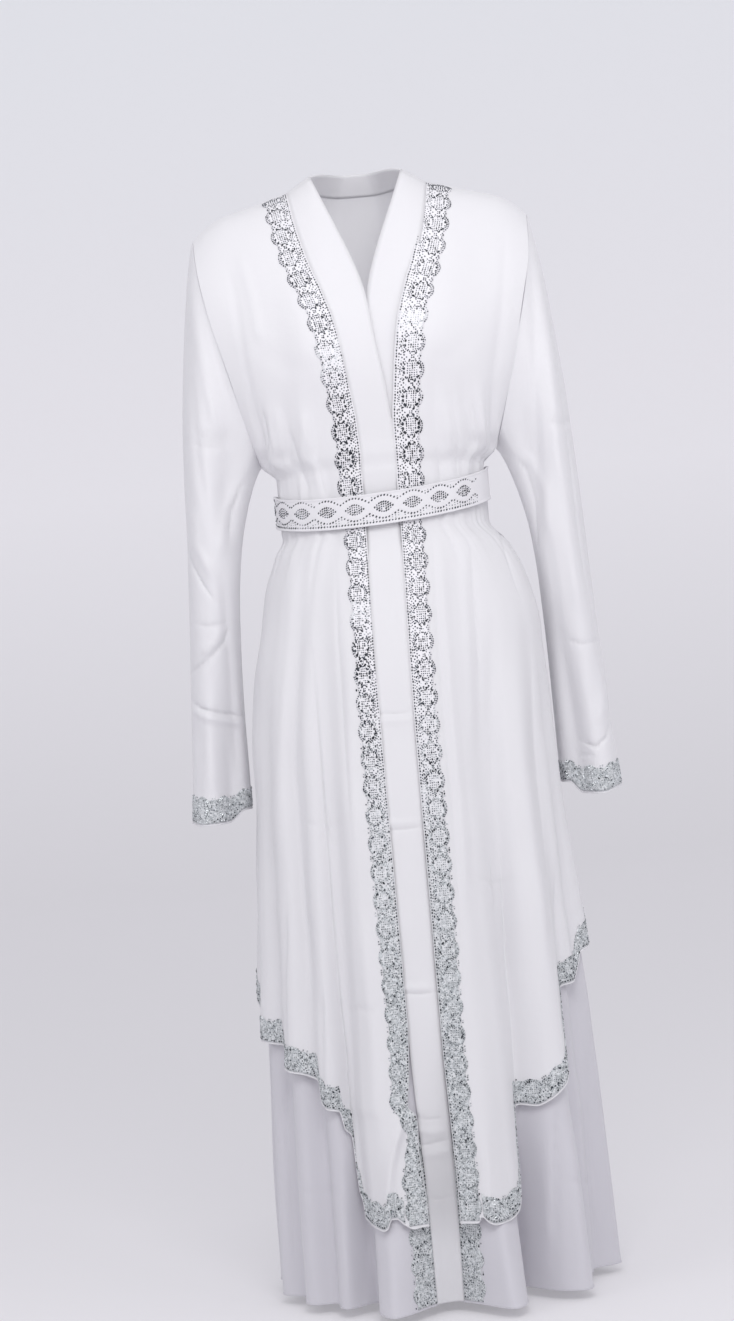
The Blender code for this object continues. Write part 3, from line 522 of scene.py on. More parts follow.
RIGHT_SLEEVE_CREASES = (
    (-4.5, 2.5, "sharp", ((184, 504), (185, 547), (192, 565), (204, 587), (217, 605))),
    (3.3, 5, "soft", ((193, 505), (195, 545), (204, 562), (216, 582))),
    (-4.5, 2.5, "sharp", ((231, 624), (224, 643), (208, 659), (192, 672), (189, 680))),
    (3.3, 5, "soft", ((222, 628), (214, 644), (200, 656))),
    (-5.1, 2.2, "sharp", ((189, 699), (200, 708), (213, 712), (247, 717))),
    (3.9, 4.0, "soft", ((190, 706), (202, 716), (216, 720), (246, 725))),
    (-2.1, 4, "soft", ((192, 436), (215, 438), (236, 434))),
    (-2.1, 4, "soft", ((190, 444), (212, 447), (232, 443))),
    (-2.1, 2.2, "sharp", ((192, 624), (210, 626), (232, 622))),
    (-6.0, 5, "soft", ((196, 244), (206, 300), (222, 372), (238, 425))),
    (4.5, 6, "soft", ((190, 262), (196, 320), (208, 392), (224, 450))),
    (-3.8, 5, "soft", ((188, 300), (190, 380), (196, 450), (206, 520))),
    (-4.5, 2.9, "sharp", ((252, 470), (242, 486), (232, 510), (228, 545))),
    (3.8, 5, "soft", ((238, 480), (226, 510), (220, 560))),
    (-3.8, 5, "soft", ((222, 560), (228, 640), (234, 720), (240, 790))),
    (3.3, 6, "soft", ((208, 690), (210, 740), (212, 800))),
    (-3.0, 5, "soft", ((198, 720), (199, 760), (198, 810))),
)
LEFT_SLEEVE_CREASES = (
    (-4.0, 5, "soft", ((525, 208), (530, 256), (534, 332), (536, 408), (540, 500))),
    (4.8, 6, "soft", ((528, 212), (540, 280), (548, 345), (554, 421), (560, 497))),
    (-5.1, 2.9, "sharp",
     ((530, 226), (544, 294), (555, 345), (566, 421), (575, 499), (585, 573), (595, 627), (609, 720))),
    (-4.5, 2.5, "sharp", ((609, 720), (608, 736), (597, 747), (579, 741))),
    (3.6, 5, "soft", ((602, 640), (604, 690), (600, 728))),
    (3.9, 6, "soft", ((556, 440), (566, 500), (574, 573), (582, 627))),
    (-2.0, 5, "soft", ((545, 520), (556, 600), (566, 680), (576, 755))),
    (-2.7, 2.2, "sharp", ((566, 640), (584, 644), (602, 640))),
    (-2.4, 2.2, "sharp", ((580, 757), (588, 755), (597, 757))),
    (-4.8, 2.9, "sharp", ((500, 452), (512, 455), (526, 470), (534, 500), (538, 560))),
    (3.6, 5, "soft", ((516, 448), (532, 462), (544, 490), (548, 540))),
    (-2.2, 4, "soft", ((548, 420), (562, 424), (576, 420))),
    (-3.3, 5, "soft", ((576, 500), (588, 560), (598, 600))),
)

# How much the gathers vary: in place, in half width and in depth and run, as shares
GATHER_STRAY = 0.35
GATHER_HALVES = (0.45, 0.85)
GATHER_DEPTHS = (0.35, 1.0)


def gather_strip(seed, first, last, count, depth, run):
    """Uneven gathers between two angles: the angle, half the angle, the depth in millimetres and
    how far they run from the belt, a row for each."""
    random = np.random.default_rng(seed)
    stray = random.uniform(-GATHER_STRAY, GATHER_STRAY, count)
    angles = np.linspace(first, last, count) + stray * (last - first) / count
    half = (last - first) / count * random.uniform(*GATHER_HALVES, count)
    depths = depth * random.uniform(*GATHER_DEPTHS, count) * np.where(np.arange(count) % 2, -1, 1)
    return np.stack([angles, half, depths, run * random.uniform(*GATHER_DEPTHS, count)], axis=-1)


# Small gathers along the belt's lower and upper edge, and the narrow folds of the skirt's back
BELOW_BELT = np.concatenate([
    gather_strip(11, -88, -26, 12, 1.5, 0.15),
    gather_strip(12, 26, 88, 12, 1.2, 0.15),
    gather_strip(13, 92, 268, 34, 2.6, 0.16),
])
ABOVE_BELT = np.concatenate([
    gather_strip(21, -88, -30, 10, 1.2, 0.11),
    gather_strip(22, 30, 88, 10, 1.2, 0.11),
    gather_strip(23, 92, 268, 30, 2.2, 0.12),
])
BACK_FOLDS = gather_strip(31, 96, 264, 30, 5.0, 1.0)

# Creases: how many widths one reaches, how fast its kinds fall off, and how it ends
CREASE_REACH = 3.2
SHARP_FALL, STEP_FALL, STEP_SLOPE = 1.6, 3.0, 0.5
END_LEAST, END_SHARE, END_DEPTH = 6.0, 0.22, 0.1
FAR = 1e9
MILLIMETRE = 0.001


def crease_relief(points, creases):
    """The creases' height at points, by where the front view shows them."""
    right, down = in_view(points)
    total = np.zeros(right.shape)
    for depth, width, kind, line in creases:
        line = np.array(line, float)
        reach = CREASE_REACH * width
        inside = (right > line[:, 0].min() - reach) & (right < line[:, 0].max() + reach)
        inside &= (down > line[:, 1].min() - reach) & (down < line[:, 1].max() + reach)
        if not inside.any():
            continue
        px, py = right[inside], down[inside]
        steps = np.linalg.norm(np.diff(line, axis=0), axis=-1)
        whole = steps.sum()
        best = np.full(px.shape, FAR)
        side, along = np.zeros(px.shape), np.zeros(px.shape)
        before = 0.0
        for (ax, ay), (bx, by), step in zip(line[:-1], line[1:], steps):
            t = np.clip(((px - ax) * (bx - ax) + (py - ay) * (by - ay)) / step**2, 0, 1)
            gone = np.hypot(px - ax - t * (bx - ax), py - ay - t * (by - ay))
            nearer = gone < best
            best = np.where(nearer, gone, best)
            across = (px - ax) * (by - ay) - (py - ay) * (bx - ax)
            side = np.where(nearer, np.sign(across), side)
            along = np.where(nearer, before + t * step, along)
            before += step
        d = best / width
        if kind == "soft":
            shape = np.exp(-d * d)
        elif kind == "sharp":
            shape = np.exp(-SHARP_FALL * d)
        else:
            shape = np.where(side > 0, np.exp(-STEP_FALL * d), np.exp(-STEP_SLOPE * d * d))
        end = np.minimum(along, whole - along) / max(END_LEAST, END_SHARE * whole)
        total[inside] += depth * MILLIMETRE * shape * (END_DEPTH + (1 - END_DEPTH) * ease(end))
    return total


# Gathers start this far from the belt's middle, and grow over this length
BELT_EDGE = 0.016
GATHER_GROWTH, GATHER_ONSET, GATHER_BEHIND = 0.004, 0.4, -0.03


def strip_relief(angle, distance, strip):
    """Height of gathers that run from the belt, at a distance from its edge, in metres."""
    total = np.zeros(np.broadcast(angle, distance).shape)
    for centre, half, depth, run in strip:
        grown = ease(distance / GATHER_GROWTH + GATHER_ONSET) * (1 - ease(distance / run))
        grown = grown * (distance > GATHER_BEHIND)
        total += MILLIMETRE * depth * grown * bump(turn(angle, centre), half)
    return total


# The cloth's slight unevenness: how many waves are summed, the radius that turns angles into
# lengths, and for each cloth the drop where it starts, the length over which it grows, and rows
# of a depth, how far a wave is drawn out downwards, a seed and the least and greatest frequency
WAVE_COUNT = 10
WAVE_RADIUS = 0.18
WAVES = {
    "outer": (0.02, 0.1, ((0.0007, 0.45, 5, 25, 75), (0.0005, 1.0, 6, 20, 60))),
    "under_front": (0.6, 0.3, ((0.0006, 0.4, 8, 25, 75),)),
    "under_back": (0.6, 0.3, ((0.0008, 0.4, 9, 25, 75),)),
    "band": (0.05, 0.1, ((0.0004, 1.0, 51, 20, 60),)),
}


def waviness(u, v, seed, low, high):
    """Smooth uneven waves between about -1 and 1, the same on every run."""
    random = np.random.default_rng(seed)
    total = np.zeros(np.broadcast(u, v).shape)
    for _ in range(WAVE_COUNT):
        a, b = random.uniform(low, high, 2) * random.choice([-1, 1], 2)
        total += np.sin(a * u + b * v + random.uniform(0, 2 * math.pi))
    return total / math.sqrt(WAVE_COUNT)


def wave_relief(cloth, angle, drop):
    """The height of a cloth's slight unevenness, in metres."""
    start, span, rows = WAVES[cloth]
    arc = np.radians(angle) * WAVE_RADIUS
    waves = sum(depth * waviness(arc, drop * drawn, *rest) for depth, drawn, *rest in rows)
    return waves * ease((drop - start) / span)


def belt_middle(angle):
    """The drop of the belt's middle line."""
    dip = BELT_SAG * np.clip(np.cos(np.radians(angle)), 0, 1)
    return BELT_DROP + dip - BELT_TILT * np.sin(np.radians(angle))


def cloth_relief(angle, drop):
    """Fine relief of a body panel: gathers at the belt and a slight waviness."""
    turned = turn(angle, 0.0)
    middle = belt_middle(turned)
    below = strip_relief(angle, drop - middle - BELT_EDGE, BELOW_BELT) * (drop > middle)
    above = strip_relief(angle, middle - BELT_EDGE - drop, ABOVE_BELT) * (drop < middle)
    return (below + above) + wave_relief("outer", turned, drop)


# How far from a front edge's trim the cloth starts to crease, and over what distance
CALM = 0.022


def calm_beside_trim(angle, drop):
    """0 on the trim beside a front edge and 1 a little way off: the trim keeps the cloth flat."""
    wrap = section("wrap", drop)
    x = section("half_width", drop) * np.sin(np.radians(np.abs(turn(angle, 0.0))) * wrap)
    x = x / np.sin(wrap * math.pi / 2)
    return ease((x - front_edge(drop) - CALM) / CALM)


# How far the right front's edge turns away from the strip above its corner, by drop
EDGE_TURN = (
    (0.990, 0.0), (1.045, 0.0045), (1.083, 0.0100), (1.094, 0.0020), (1.102, 0.0010),
    (1.135, 0.0034), (1.160, 0.0028), (1.190, 0.0),
)
EDGE_TURN_REACH = 0.045

# How far the left front's edge reaches over the bands beside the V, by drop
EDGE_OVER = (
    (0.000, 0.0020), (0.040, 0.0048), (0.090, 0.0066), (0.200, 0.0060), (0.260, 0.0050),
    (0.330, 0.0022), (0.380, 0.0),
)
EDGE_OVER_REACH = 0.016

# How far the middle of the skirt hangs towards the right, by drop
CENTRE_LEAN = (
    (0.300, 0.0), (0.360, 0.0020), (0.413, 0.0031), (0.541, 0.0055), (0.650, 0.0060),
    (0.889, 0.0052), (1.020, 0.0045), (1.100, 0.0022), (1.170, 0.0),
)
CENTRE_LEAN_REACH = 0.085


def lean(points, drop):
    """Points of the front moved a little to the right near the middle, as the skirt hangs."""
    moved = points.copy()
    near_middle = np.exp(-(points[..., 0] / CENTRE_LEAN_REACH) ** 2)
    moved[..., 0] -= read(CENTRE_LEAN, drop) * near_middle
    return moved


# How far the bodice's front stands out above the belt, by drop
BLOUSE_FILL = ((0.285, 0.0), (0.302, 0.0010), (0.318, 0.0030), (0.333, 0.0016), (0.347, 0.0))


def blouse_fill(angle, drop):
    """How far the bodice's front stands out above the belt: the cloth runs smoothly under it."""
    return read(BLOUSE_FILL, drop) * np.clip(np.cos(np.radians(angle)), 0, 1) ** 2


def front_point(angle, drop):
    """A point of the outer fronts."""
    angle, drop = arrays(angle, drop)
    base = cloth_point(angle, drop)
    more = cloth_relief(angle, drop) + crease_relief(lean(base, drop), FRONT_CREASES)
    more = more * calm_beside_trim(angle, drop)
    more = more + crease_relief(base, CORNER_CREASES) + blouse_fill(angle, drop)
    points = cloth_point(angle, drop, inset=-more)
    off_edge = np.maximum(np.abs(base[..., 0]) - front_edge(drop), 0)
    turned = read(EDGE_TURN, drop) * np.exp(-off_edge / EDGE_TURN_REACH)
    over = read(EDGE_OVER, drop) * np.exp(-off_edge / EDGE_OVER_REACH)
    points[..., 0] -= np.where(angle < 0, turned, over)
    return lean(points, drop)


# The back's narrow folds: where they start and grow, how strong and wide they are, and how far
# and from which drop they drift sideways on the way down
BACK_START, BACK_GROWTH = 0.42, 0.5
BACK_STRENGTH, BACK_WIDENING, BACK_DRIFT, DRIFT_FROM = 0.8, 1.1, 3.0, 0.4


def back_relief(angle, drop):
    """Narrow folds of the back of the skirt, which shows none of the front's creases."""
    grown = ease((drop - BACK_START) / BACK_GROWTH) * BACK_STRENGTH
    total = np.zeros(np.broadcast(angle, drop).shape)
    for centre, half, depth, _ in BACK_FOLDS:
        drift = BACK_DRIFT * np.sin(centre) * (drop - DRIFT_FROM)
        total += MILLIMETRE * depth * grown * bump(turn(angle, centre + drift), half * BACK_WIDENING)
    return total


def back_point(angle, drop):
    """A point of the outer back."""
    angle, drop = arrays(angle, drop)
    more = cloth_relief(angle, drop)
    more = more + back_relief(angle, drop)
    return cloth_point(angle, drop, back=True, inset=-more)


# The underskirt's creases start at a drop and grow over a length, and its back's folds are weaker
UNDER_START, UNDER_GROWTH = 0.9, 0.2
UNDER_BACK_SHARE = 0.8


def under_front_point(angle, drop):
    """A point of the underskirt's fronts."""
    angle, drop = arrays(angle, drop)
    base = under_point(angle, drop)
    more = crease_relief(base, UNDER_CREASES) * calm_beside_trim(angle, drop)
    more = more * ease((drop - UNDER_START) / UNDER_GROWTH) + wave_relief("under_front", angle, drop)
    return lean(under_point(angle, drop, behind=-more), drop)


def under_back_point(angle, drop):
    """A point of the underskirt's back."""
    angle, drop = arrays(angle, drop)
    more = wave_relief("under_back", turn(angle, 0.0), drop)
    return under_point(angle, drop, back=True, behind=-more - UNDER_BACK_SHARE * back_relief(angle, drop))


# Where each cuff's hem rises: from and to a place across the front view, and how far
CUFF_RISES = {
    -1: ((230.0, 247.0, 0.013), (204.0, 190.0, 0.004)),
    1: ((584.0, 570.0, 0.014), (604.0, 624.0, 0.008)),
}
CUFF_START = 0.86

# A sleeve's slight unevenness: a depth, factors round and along it, a seed and the frequencies.
# The first row is for the side that the front view doesn't show.
SLEEVE_WAVES = ((0.0022, 2, 3, 41, 0.8, 2.2), (0.0006, 3, 9, 43, 0.8, 2.4))
FACING_SLOPE, FACING_SHIFT = 2.2, 0.35
ARMHOLE_CALM = 0.06
SLEEVE_CREASES = {-1: RIGHT_SLEEVE_CREASES, 1: LEFT_SLEEVE_CREASES}


def sleeve_surface(angle, place, side):
    """A point of a sleeve with its fine creases."""
    angle, place = arrays(angle, place)
    base = sleeve_point(angle, place, side)
    arc = np.radians(angle)
    seen = ease(FACING_SLOPE * np.sin(arc) + FACING_SHIFT)
    more = crease_relief(base, SLEEVE_CREASES[side]) * seen
    for share, (depth, around, along, seed, low, high) in zip((1 - seen, 1), SLEEVE_WAVES):
        more = more + share * depth * waviness(around * arc, along * place, seed + side, low, high)
    points = sleeve_point(angle, place, side, more * ease(place / ARMHOLE_CALM))
    right, _ = in_view(base)
    for first, last, rise in CUFF_RISES[side]:
        lifted = ease((place - CUFF_START) / (1 - CUFF_START))
        points[..., 2] += rise * ease((right - first) / (last - first)) * lifted
    return points


def unit(vectors):
    return vectors / (np.linalg.norm(vectors, axis=-1, keepdims=True) + 1e-12)


def grid_normals(points):
    """Unit normals of a grid, on the side that the rows and columns turn to."""
    return unit(np.cross(np.gradient(points, axis=1), np.gradient(points, axis=0)))


def add_mesh(name, verts, faces, material, smooth=True):
    mesh = bpy.data.meshes.new(name)
    mesh.from_pydata(np.asarray(verts).reshape(-1, 3).tolist(), [], faces)
    mesh.materials.append(material)
    if smooth:
        mesh.shade_smooth()
    else:
        mesh.shade_flat()
    made = bpy.data.objects.new(name, mesh)
    bpy.context.scene.collection.objects.link(made)
    return made


def dress(name, node, shape, material, smooth=True):
    """A piece that stands for a solid. shape holds its vertices and its faces."""
    made = add_mesh(name, *shape, material, smooth)
    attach(made, "root")
    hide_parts(node)
    return made


def grid_faces(rows, cols, ring=False):
    r, c = np.meshgrid(np.arange(rows - 1), np.arange(cols if ring else cols - 1), indexing="ij")
    a, b = r * cols + c, r * cols + (c + 1) % cols
    return np.stack([a, a + cols, b + cols, b], axis=-1).reshape(-1, 4).tolist()


def wall_mesh(points, normals, low, high, ring=False):
    """Vertices and faces of a closed wall between a grid moved by low and by high."""
    rows, cols = points.shape[:2]
    sides = [(points + normals * move).reshape(-1, 3) for move in (high, low)]
    verts = np.concatenate(sides)
    n = rows * cols
    outer = grid_faces(rows, cols, ring)
    inner = [[n + i for i in face[::-1]] for face in outer]
    around = list(range(cols)) + ([0] if ring else [])
    rims = [around[::-1], [(rows - 1) * cols + c for c in around]]
    if not ring:
        rims += [[r * cols for r in range(rows)], [r * cols + cols - 1 for r in range(rows)][::-1]]
    rim_faces = [[a, n + a, n + b, b] for rim in rims for a, b in zip(rim, rim[1:])]
    return verts, outer + inner + rim_faces


# How many sides the rolled edges and the stones have
TUBE_SIDES = 6
STONE_SIDES = 6


def tube(path, radius, closed=False):
    """Vertices and faces of a thin tube along a path, closed at its ends or into a ring."""
    ahead = np.roll(path, -1, axis=0) - np.roll(path, 1, axis=0) if closed else np.gradient(path, axis=0)
    ahead = unit(ahead)
    up = np.array([0.0, 0.0, 1.0])
    first = unit(np.cross(ahead, up + 0.2 * ahead[:, [1, 2, 0]]))
    second = np.cross(ahead, first)
    turns = np.linspace(0, 2 * math.pi, TUBE_SIDES, endpoint=False)[:, None]
    rings = path[:, None] + radius * (np.cos(turns) * first[:, None] + np.sin(turns) * second[:, None])
    faces = grid_faces(len(path), TUBE_SIDES, ring=True)
    start, last = list(range(TUBE_SIDES)), (len(path) - 1) * TUBE_SIDES
    if closed:
        faces += [[last + a, a, b, last + b] for a, b in zip(start, start[1:] + start[:1])]
    else:
        faces += [start, [last + a for a in start][::-1]]
    return rings.reshape(-1, 3), faces


# Materials
def new_material(name, colour, roughness, metallic=0.0, sheen=0.0, specular=0.5):
    made = bpy.data.materials.new(name)
    made.use_nodes = True
    shader = made.node_tree.nodes["Principled BSDF"]
    shader.inputs["Base Color"].default_value = (*colour, 1.0)
    shader.inputs["Roughness"].default_value = roughness
    shader.inputs["Metallic"].default_value = metallic
    shader.inputs["Sheen Weight"].default_value = sheen
    shader.inputs["Sheen Roughness"].default_value = 0.5
    shader.inputs["Specular IOR Level"].default_value = specular
    return made, made.node_tree, shader


def add_node(tree, kind, **values):
    """A node of a kind. An input's name is given with _ for each space."""
    made = tree.nodes.new(f"ShaderNode{kind}")
    for name, value in values.items():
        made.inputs[name.replace("_", " ")].default_value = value
    return made


def add_mix(tree, first, second=None):
    """A mix of two colours, the second of which may come from another node."""
    made = tree.nodes.new("ShaderNodeMix")
    made.data_type = "RGBA"
    made.inputs["A"].default_value = (*first, 1.0)
    if second:
        made.inputs["B"].default_value = (*second, 1.0)
    return made


def wire(tree, *links):
    """Links from a node's output to another node's input, a row for each."""
    for start, output, end, socket in links:
        tree.links.new(start.outputs[output], end.inputs[socket])


# The share of the light that the thin crepe lets through
THROUGH = 0.20


def crepe(name, colour, second_colour):
    """Matt crepe: a fine pebbled weave and a faint unevenness of tone."""
    made, tree, shader = new_material(name, colour, 0.78, sheen=0.35, specular=0.25)
    place = add_node(tree, "TexCoord")
    broad = add_node(tree, "TexNoise", Scale=7.0, Detail=2.0)
    mix = add_mix(tree, colour, second_colour)
    grain = add_node(tree, "TexNoise", Scale=900.0, Detail=3.0)
    slub = add_node(tree, "TexNoise", Scale=170.0, Detail=2.0)
    total = add_node(tree, "Math")
    total.operation = "ADD"
    relief = add_node(tree, "Bump", Strength=0.35, Distance=0.0004)
    through = add_node(tree, "BsdfTranslucent")
    both = add_node(tree, "MixShader", Fac=THROUGH)
    wire(
        tree,
        (place, "Object", broad, "Vector"),
        (broad, "Fac", mix, "Factor"),
        (mix, "Result", shader, "Base Color"),
        (place, "Object", grain, "Vector"),
        (place, "Object", slub, "Vector"),
        (grain, "Fac", total, 0),
        (slub, "Fac", total, 1),
        (total, "Value", relief, "Height"),
        (relief, "Normal", shader, "Normal"),
        (mix, "Result", through, "Color"),
        (shader, "BSDF", both, 1),
        (through, "BSDF", both, 2),
        (both, "Shader", tree.nodes["Material Output"], "Surface"),
    )
    return made


def stone_material(name, dark, light, roughness, metallic):
    """Cut stones, each of its own tone between dark and light."""
    made, tree, shader = new_material(name, light, roughness, metallic, specular=0.35)
    place = add_node(tree, "TexCoord")
    cells = add_node(tree, "TexVoronoi", Scale=330.0)
    split = add_node(tree, "SeparateColor")
    mix = add_mix(tree, dark, light)
    wire(
        tree,
        (place, "Object", cells, "Vector"),
        (cells, "Color", split, "Color"),
        (split, "Red", mix, "Factor"),
        (mix, "Result", shader, "Base Color"),
    )
    return made


def net_material(name, silver_from, silver_to):
    """A trim's ground: white above the height silver_from, silvered net below silver_to."""
    made, tree, shader = new_material(name, (0.85, 0.85, 0.87), 0.6, sheen=0.1)
    place = add_node(tree, "TexCoord")
    split = add_node(tree, "SeparateXYZ")
    ramp = add_node(tree, "MapRange", From_Min=silver_from, From_Max=silver_to)
    grain = add_node(tree, "TexNoise", Scale=300.0, Detail=2.0)
    spots = add_node(tree, "MapRange", From_Min=0.38, From_Max=0.60)
    mottle = add_mix(tree, (0.40, 0.42, 0.435), (0.66, 0.675, 0.69))
    mix = add_mix(tree, (0.78, 0.77, 0.80))
    relief = add_node(tree, "Bump", Strength=0.5, Distance=0.0005)
    wire(
        tree,
        (place, "Object", split, "Vector"),
        (place, "Object", grain, "Vector"),
        (split, "Z", ramp, "Value"),
        (grain, "Fac", spots, "Value"),
        (spots, "Result", mottle, "Factor"),
        (ramp, "Result", mix, "Factor"),
        (mottle, "Result", mix, "B"),
        (mix, "Result", shader, "Base Color"),
        (grain, "Fac", relief, "Height"),
        (relief, "Normal", shader, "Normal"),
    )
    return made


WHITE = crepe("crepe_white", (0.86, 0.853, 0.873), (0.83, 0.823, 0.847))
# The underskirt's crepe is the white crepe made darker and a little bluer: painted shade for where it
# hangs behind and below the outer layer.
UNDER_PAINTED_SHADE = crepe("crepe_under_painted_shade", (0.715, 0.703, 0.745), (0.68, 0.668, 0.71))
BELT_WHITE = crepe("crepe_belt", (0.87, 0.86, 0.885), (0.84, 0.83, 0.86))
EDGE_NET = net_material("trim_net_edge", -0.55, -0.95)
HEM_NET = net_material("trim_net_hem", 0.0, -0.01)
SMALL_STONE = stone_material("stone_small", (0.02, 0.024, 0.035), (0.13, 0.142, 0.175), 0.4, 0.1)
BOLD_STONE = stone_material("stone_bold", (0.010, 0.012, 0.016), (0.06, 0.07, 0.085), 0.25, 0.2)
# Light stones stand for stones that catch the light: painted glint.
PAINTED_GLINT_STONE = stone_material("stone_painted_glint", (0.40, 0.43, 0.445), (0.84, 0.87, 0.89), 0.2, 0.3)
GREY_STONE = stone_material("stone_grey", (0.15, 0.165, 0.175), (0.38, 0.40, 0.41), 0.35, 0.2)

# Cloth sheets: how finely each is divided
FRONT_GRID = (300, 132)
BACK_GRID = (220, 190)
UNDER_FRONT_GRID = (230, 100)
UNDER_BACK_GRID = (190, 140)
SLEEVE_GRID = (300, 122)
BAND_GRID = (900, 9)

# The share of a sheet's rows that lie level, down to the waist
LEVEL_ROWS = 0.30


def outer_rows(count, hem):
    """Drops of a sheet's rows: level down to the waist, then shares of the way to the hem."""
    shares = np.linspace(0, 1, count)[:, None]
    upper = WAIST_END * shares / LEVEL_ROWS
    lower = WAIST_END + (hem - WAIST_END) * (shares - LEVEL_ROWS) / (1 - LEVEL_ROWS)
    return np.where(shares < LEVEL_ROWS, upper, lower)


def edge_column_shares(count):
    """Columns of a front, closer together near its edge."""
    s = np.linspace(0, 1, count)
    return 0.75 * s + 0.25 * s * s


def front_columns(shares, drop):
    """Angles across a front, from its edge to the side."""
    edge = angle_at(front_edge(drop), drop)
    return edge + (90.0 - edge) * shares


def front_grid(side):
    rows, cols = FRONT_GRID
    shares = edge_column_shares(cols)[None, :]
    hem_angle = side * front_columns(shares, np.full((1, 1), 1.1))
    drop = outer_rows(rows, outer_hem(hem_angle))
    return side * front_columns(shares, drop), drop


def body_middle(points):
    """A point of the figure's middle line, just below each point."""
    return points * np.array([0.0, 0.0, 1.0]) - np.array([0.0, 0.0, 0.05])


# Trims. Along each runs a chain of medallions: a centre filled with a grid of stones, bold stones
# along two waves that cross between the medallions, and rings of small stones outside them.
PITCH = 0.0340
MEDALLION_AT = 0.0198
STRAIGHT_ROWS = (0.0019, 0.0046)
STRAIGHT_STEP = 0.0036
SCALLOP_RADIUS = 0.0146
NOTCH_REACH = 0.0100
GRID_HALF = (0.0118, 0.0078)
GRID_STEP = (0.0028, 0.0027)
TRIM_WAVE = 0.0096
WAVE_STEPS = 13
RING_RADII = (0.0139, 0.0115)
RING_STEP = 0.0028
RING_END = 0.0118
SMALL = 0.00098
GRID_STONE = 0.00087
BOLD = 0.00120
STONE_KINDS = {"small": SMALL_STONE, "bold": BOLD_STONE, "grey": GREY_STONE, "painted_glint": PAINTED_GLINT_STONE}

# Further rings and columns of stones where the trim is dense
FILL_RADII = (0.0128, 0.0104)
FILL_RING_STEP = 0.0030
FILL_COLUMNS = (-0.5, -0.42, 0.42)
FILL_STEP = (0.0013, 0.0031)

# The stones of the medallions and the filling keep between these distances across the trim, and
# no stone lies nearer than these to its ends or its straight edge
CLEAR_FROM, CLEAR_TO = 0.0056, 0.0338
END_CLEAR, EDGE_CLEAR = 0.0008, 0.0006

# Stones vary in size, and stray this far from their places
STONE_SIZES = (0.80, 1.12)
STRAY = 0.00016

# Distances along a front edge, for each side, where most of the stones are light ones, as painted glint,
# and where few are and more are dark and bold, as painted lack of glint
PAINTED_GLINT_PLACES = {-1: ((0.264, 0.036), (0.580, 0.020)), 1: ((0.226, 0.034),)}
NO_GLINT_PLACES = {-1: ((0.375, 0.075), (0.640, 0.040)), 1: ((0.355, 0.095),)}

# Where the stones lie dense: a share that rises from 0 to 1 along a front edge, and is even
# along a hem
DENSE_START, DENSE_END = 0.55, 0.95
HEM_DENSITY = 0.9

# Chances of what a stone becomes: a constant, and factors for how far its place lacks the painted glint,
# how dense it is and how far it has the painted glint
CHANCES = {
    "bold stays": (0.50, 0.50, -0.36, -0.50),
    "dark turns": (0.35, 0.0, 0.40, 1.0),
    "painted_glint": (0.03, 0.0, 0.42, 0.80),
    "grey": (0.0, 0.0, 0.90, 0.0),
    "bold": (0.20, 0.22, 0.0, 0.0),
}

# Shares: stones missing, filling stones, a straight row's density against the medallions', how full and
# how large the second row is, and how much bold stones grow where the painted glint is lacking
MISSING, FILL_SHARE, ROW_DENSITY = 0.04, 0.8, 0.6
SECOND_ROW_SHARE, SECOND_ROW_SIZE = 0.8, 0.85
NO_GLINT_GROWTH = 0.35

# Places of the small stones between two medallions: along from the middle between them, across.
# All but those on the middle line come in pairs, one to each side.
BETWEEN_MEDALLIONS = (
    (0.0000, 0.0078), (0.0040, 0.0066), (-0.0040, 0.0066), (0.0076, 0.0070), (-0.0076, 0.0070),
    (0.0026, 0.0103), (-0.0026, 0.0103), (0.0058, 0.0096), (-0.0058, 0.0096), (0.0000, 0.0130),
    (0.0000, 0.0258), (0.0000, 0.0290), (0.0026, 0.0276), (-0.0026, 0.0276),
)


def medallion():
    """Stones of one medallion: along, across, size, kind and direction, from its centre."""
    rows = []
    for u in np.arange(-4, 5) * GRID_STEP[0]:
        for v in np.arange(-3, 4) * GRID_STEP[1]:
            if (u / GRID_HALF[0]) ** 2 + (v / GRID_HALF[1]) ** 2 <= 1.0:
                rows.append((u, v, GRID_STONE, "grid", 0.0))
    for radius in RING_RADII:
        count = round(2 * math.pi * radius / RING_STEP)
        for k in range(count):
            a = 2 * math.pi * (k + 0.5) / count
            if abs(radius * math.cos(a)) < RING_END:
                rows.append((radius * math.cos(a), radius * math.sin(a), SMALL, "small", 0.0))
    for sign in (-1, 1):
        for k in range(-6, 7):
            u = k * PITCH / WAVE_STEPS
            v = sign * TRIM_WAVE * math.cos(math.pi * u / PITCH)
            slope = -sign * TRIM_WAVE * math.pi / PITCH * math.sin(math.pi * u / PITCH)
            if abs(k) in (1, 3, 5):
                rows.append((u, v, BOLD, "bold", math.atan(slope)))
            elif abs(k) == 6:
                rows.append((u, v, SMALL, "small", 0.0))
    return rows


def filling():
    """Further stones between the rows of a medallion, where the trim is dense."""
    rows = []
    for radius in FILL_RADII:
        count = round(2 * math.pi * radius / FILL_RING_STEP)
        for k in range(count):
            a = 2 * math.pi * k / count
            rows.append((radius * math.cos(a), radius * math.sin(a), SMALL, "small", 0.0))
    for i in range(-4, 5):
        for u in FILL_COLUMNS:
            rows.append((u * PITCH + FILL_STEP[0] * (i % 2), FILL_STEP[1] * i, SMALL, "small", 0.0))
    return rows


def near(s, places):
    """1 at the middle of any of the places, falling to 0 at their ends."""
    return max(float(bump(s - middle, half)) for middle, half in places)


def density(s, is_edge):
    """How dense the stones lie at a distance along a trim, from 0 to 1."""
    return float(ease((s - DENSE_START) / (DENSE_END - DENSE_START))) if is_edge else HEM_DENSITY


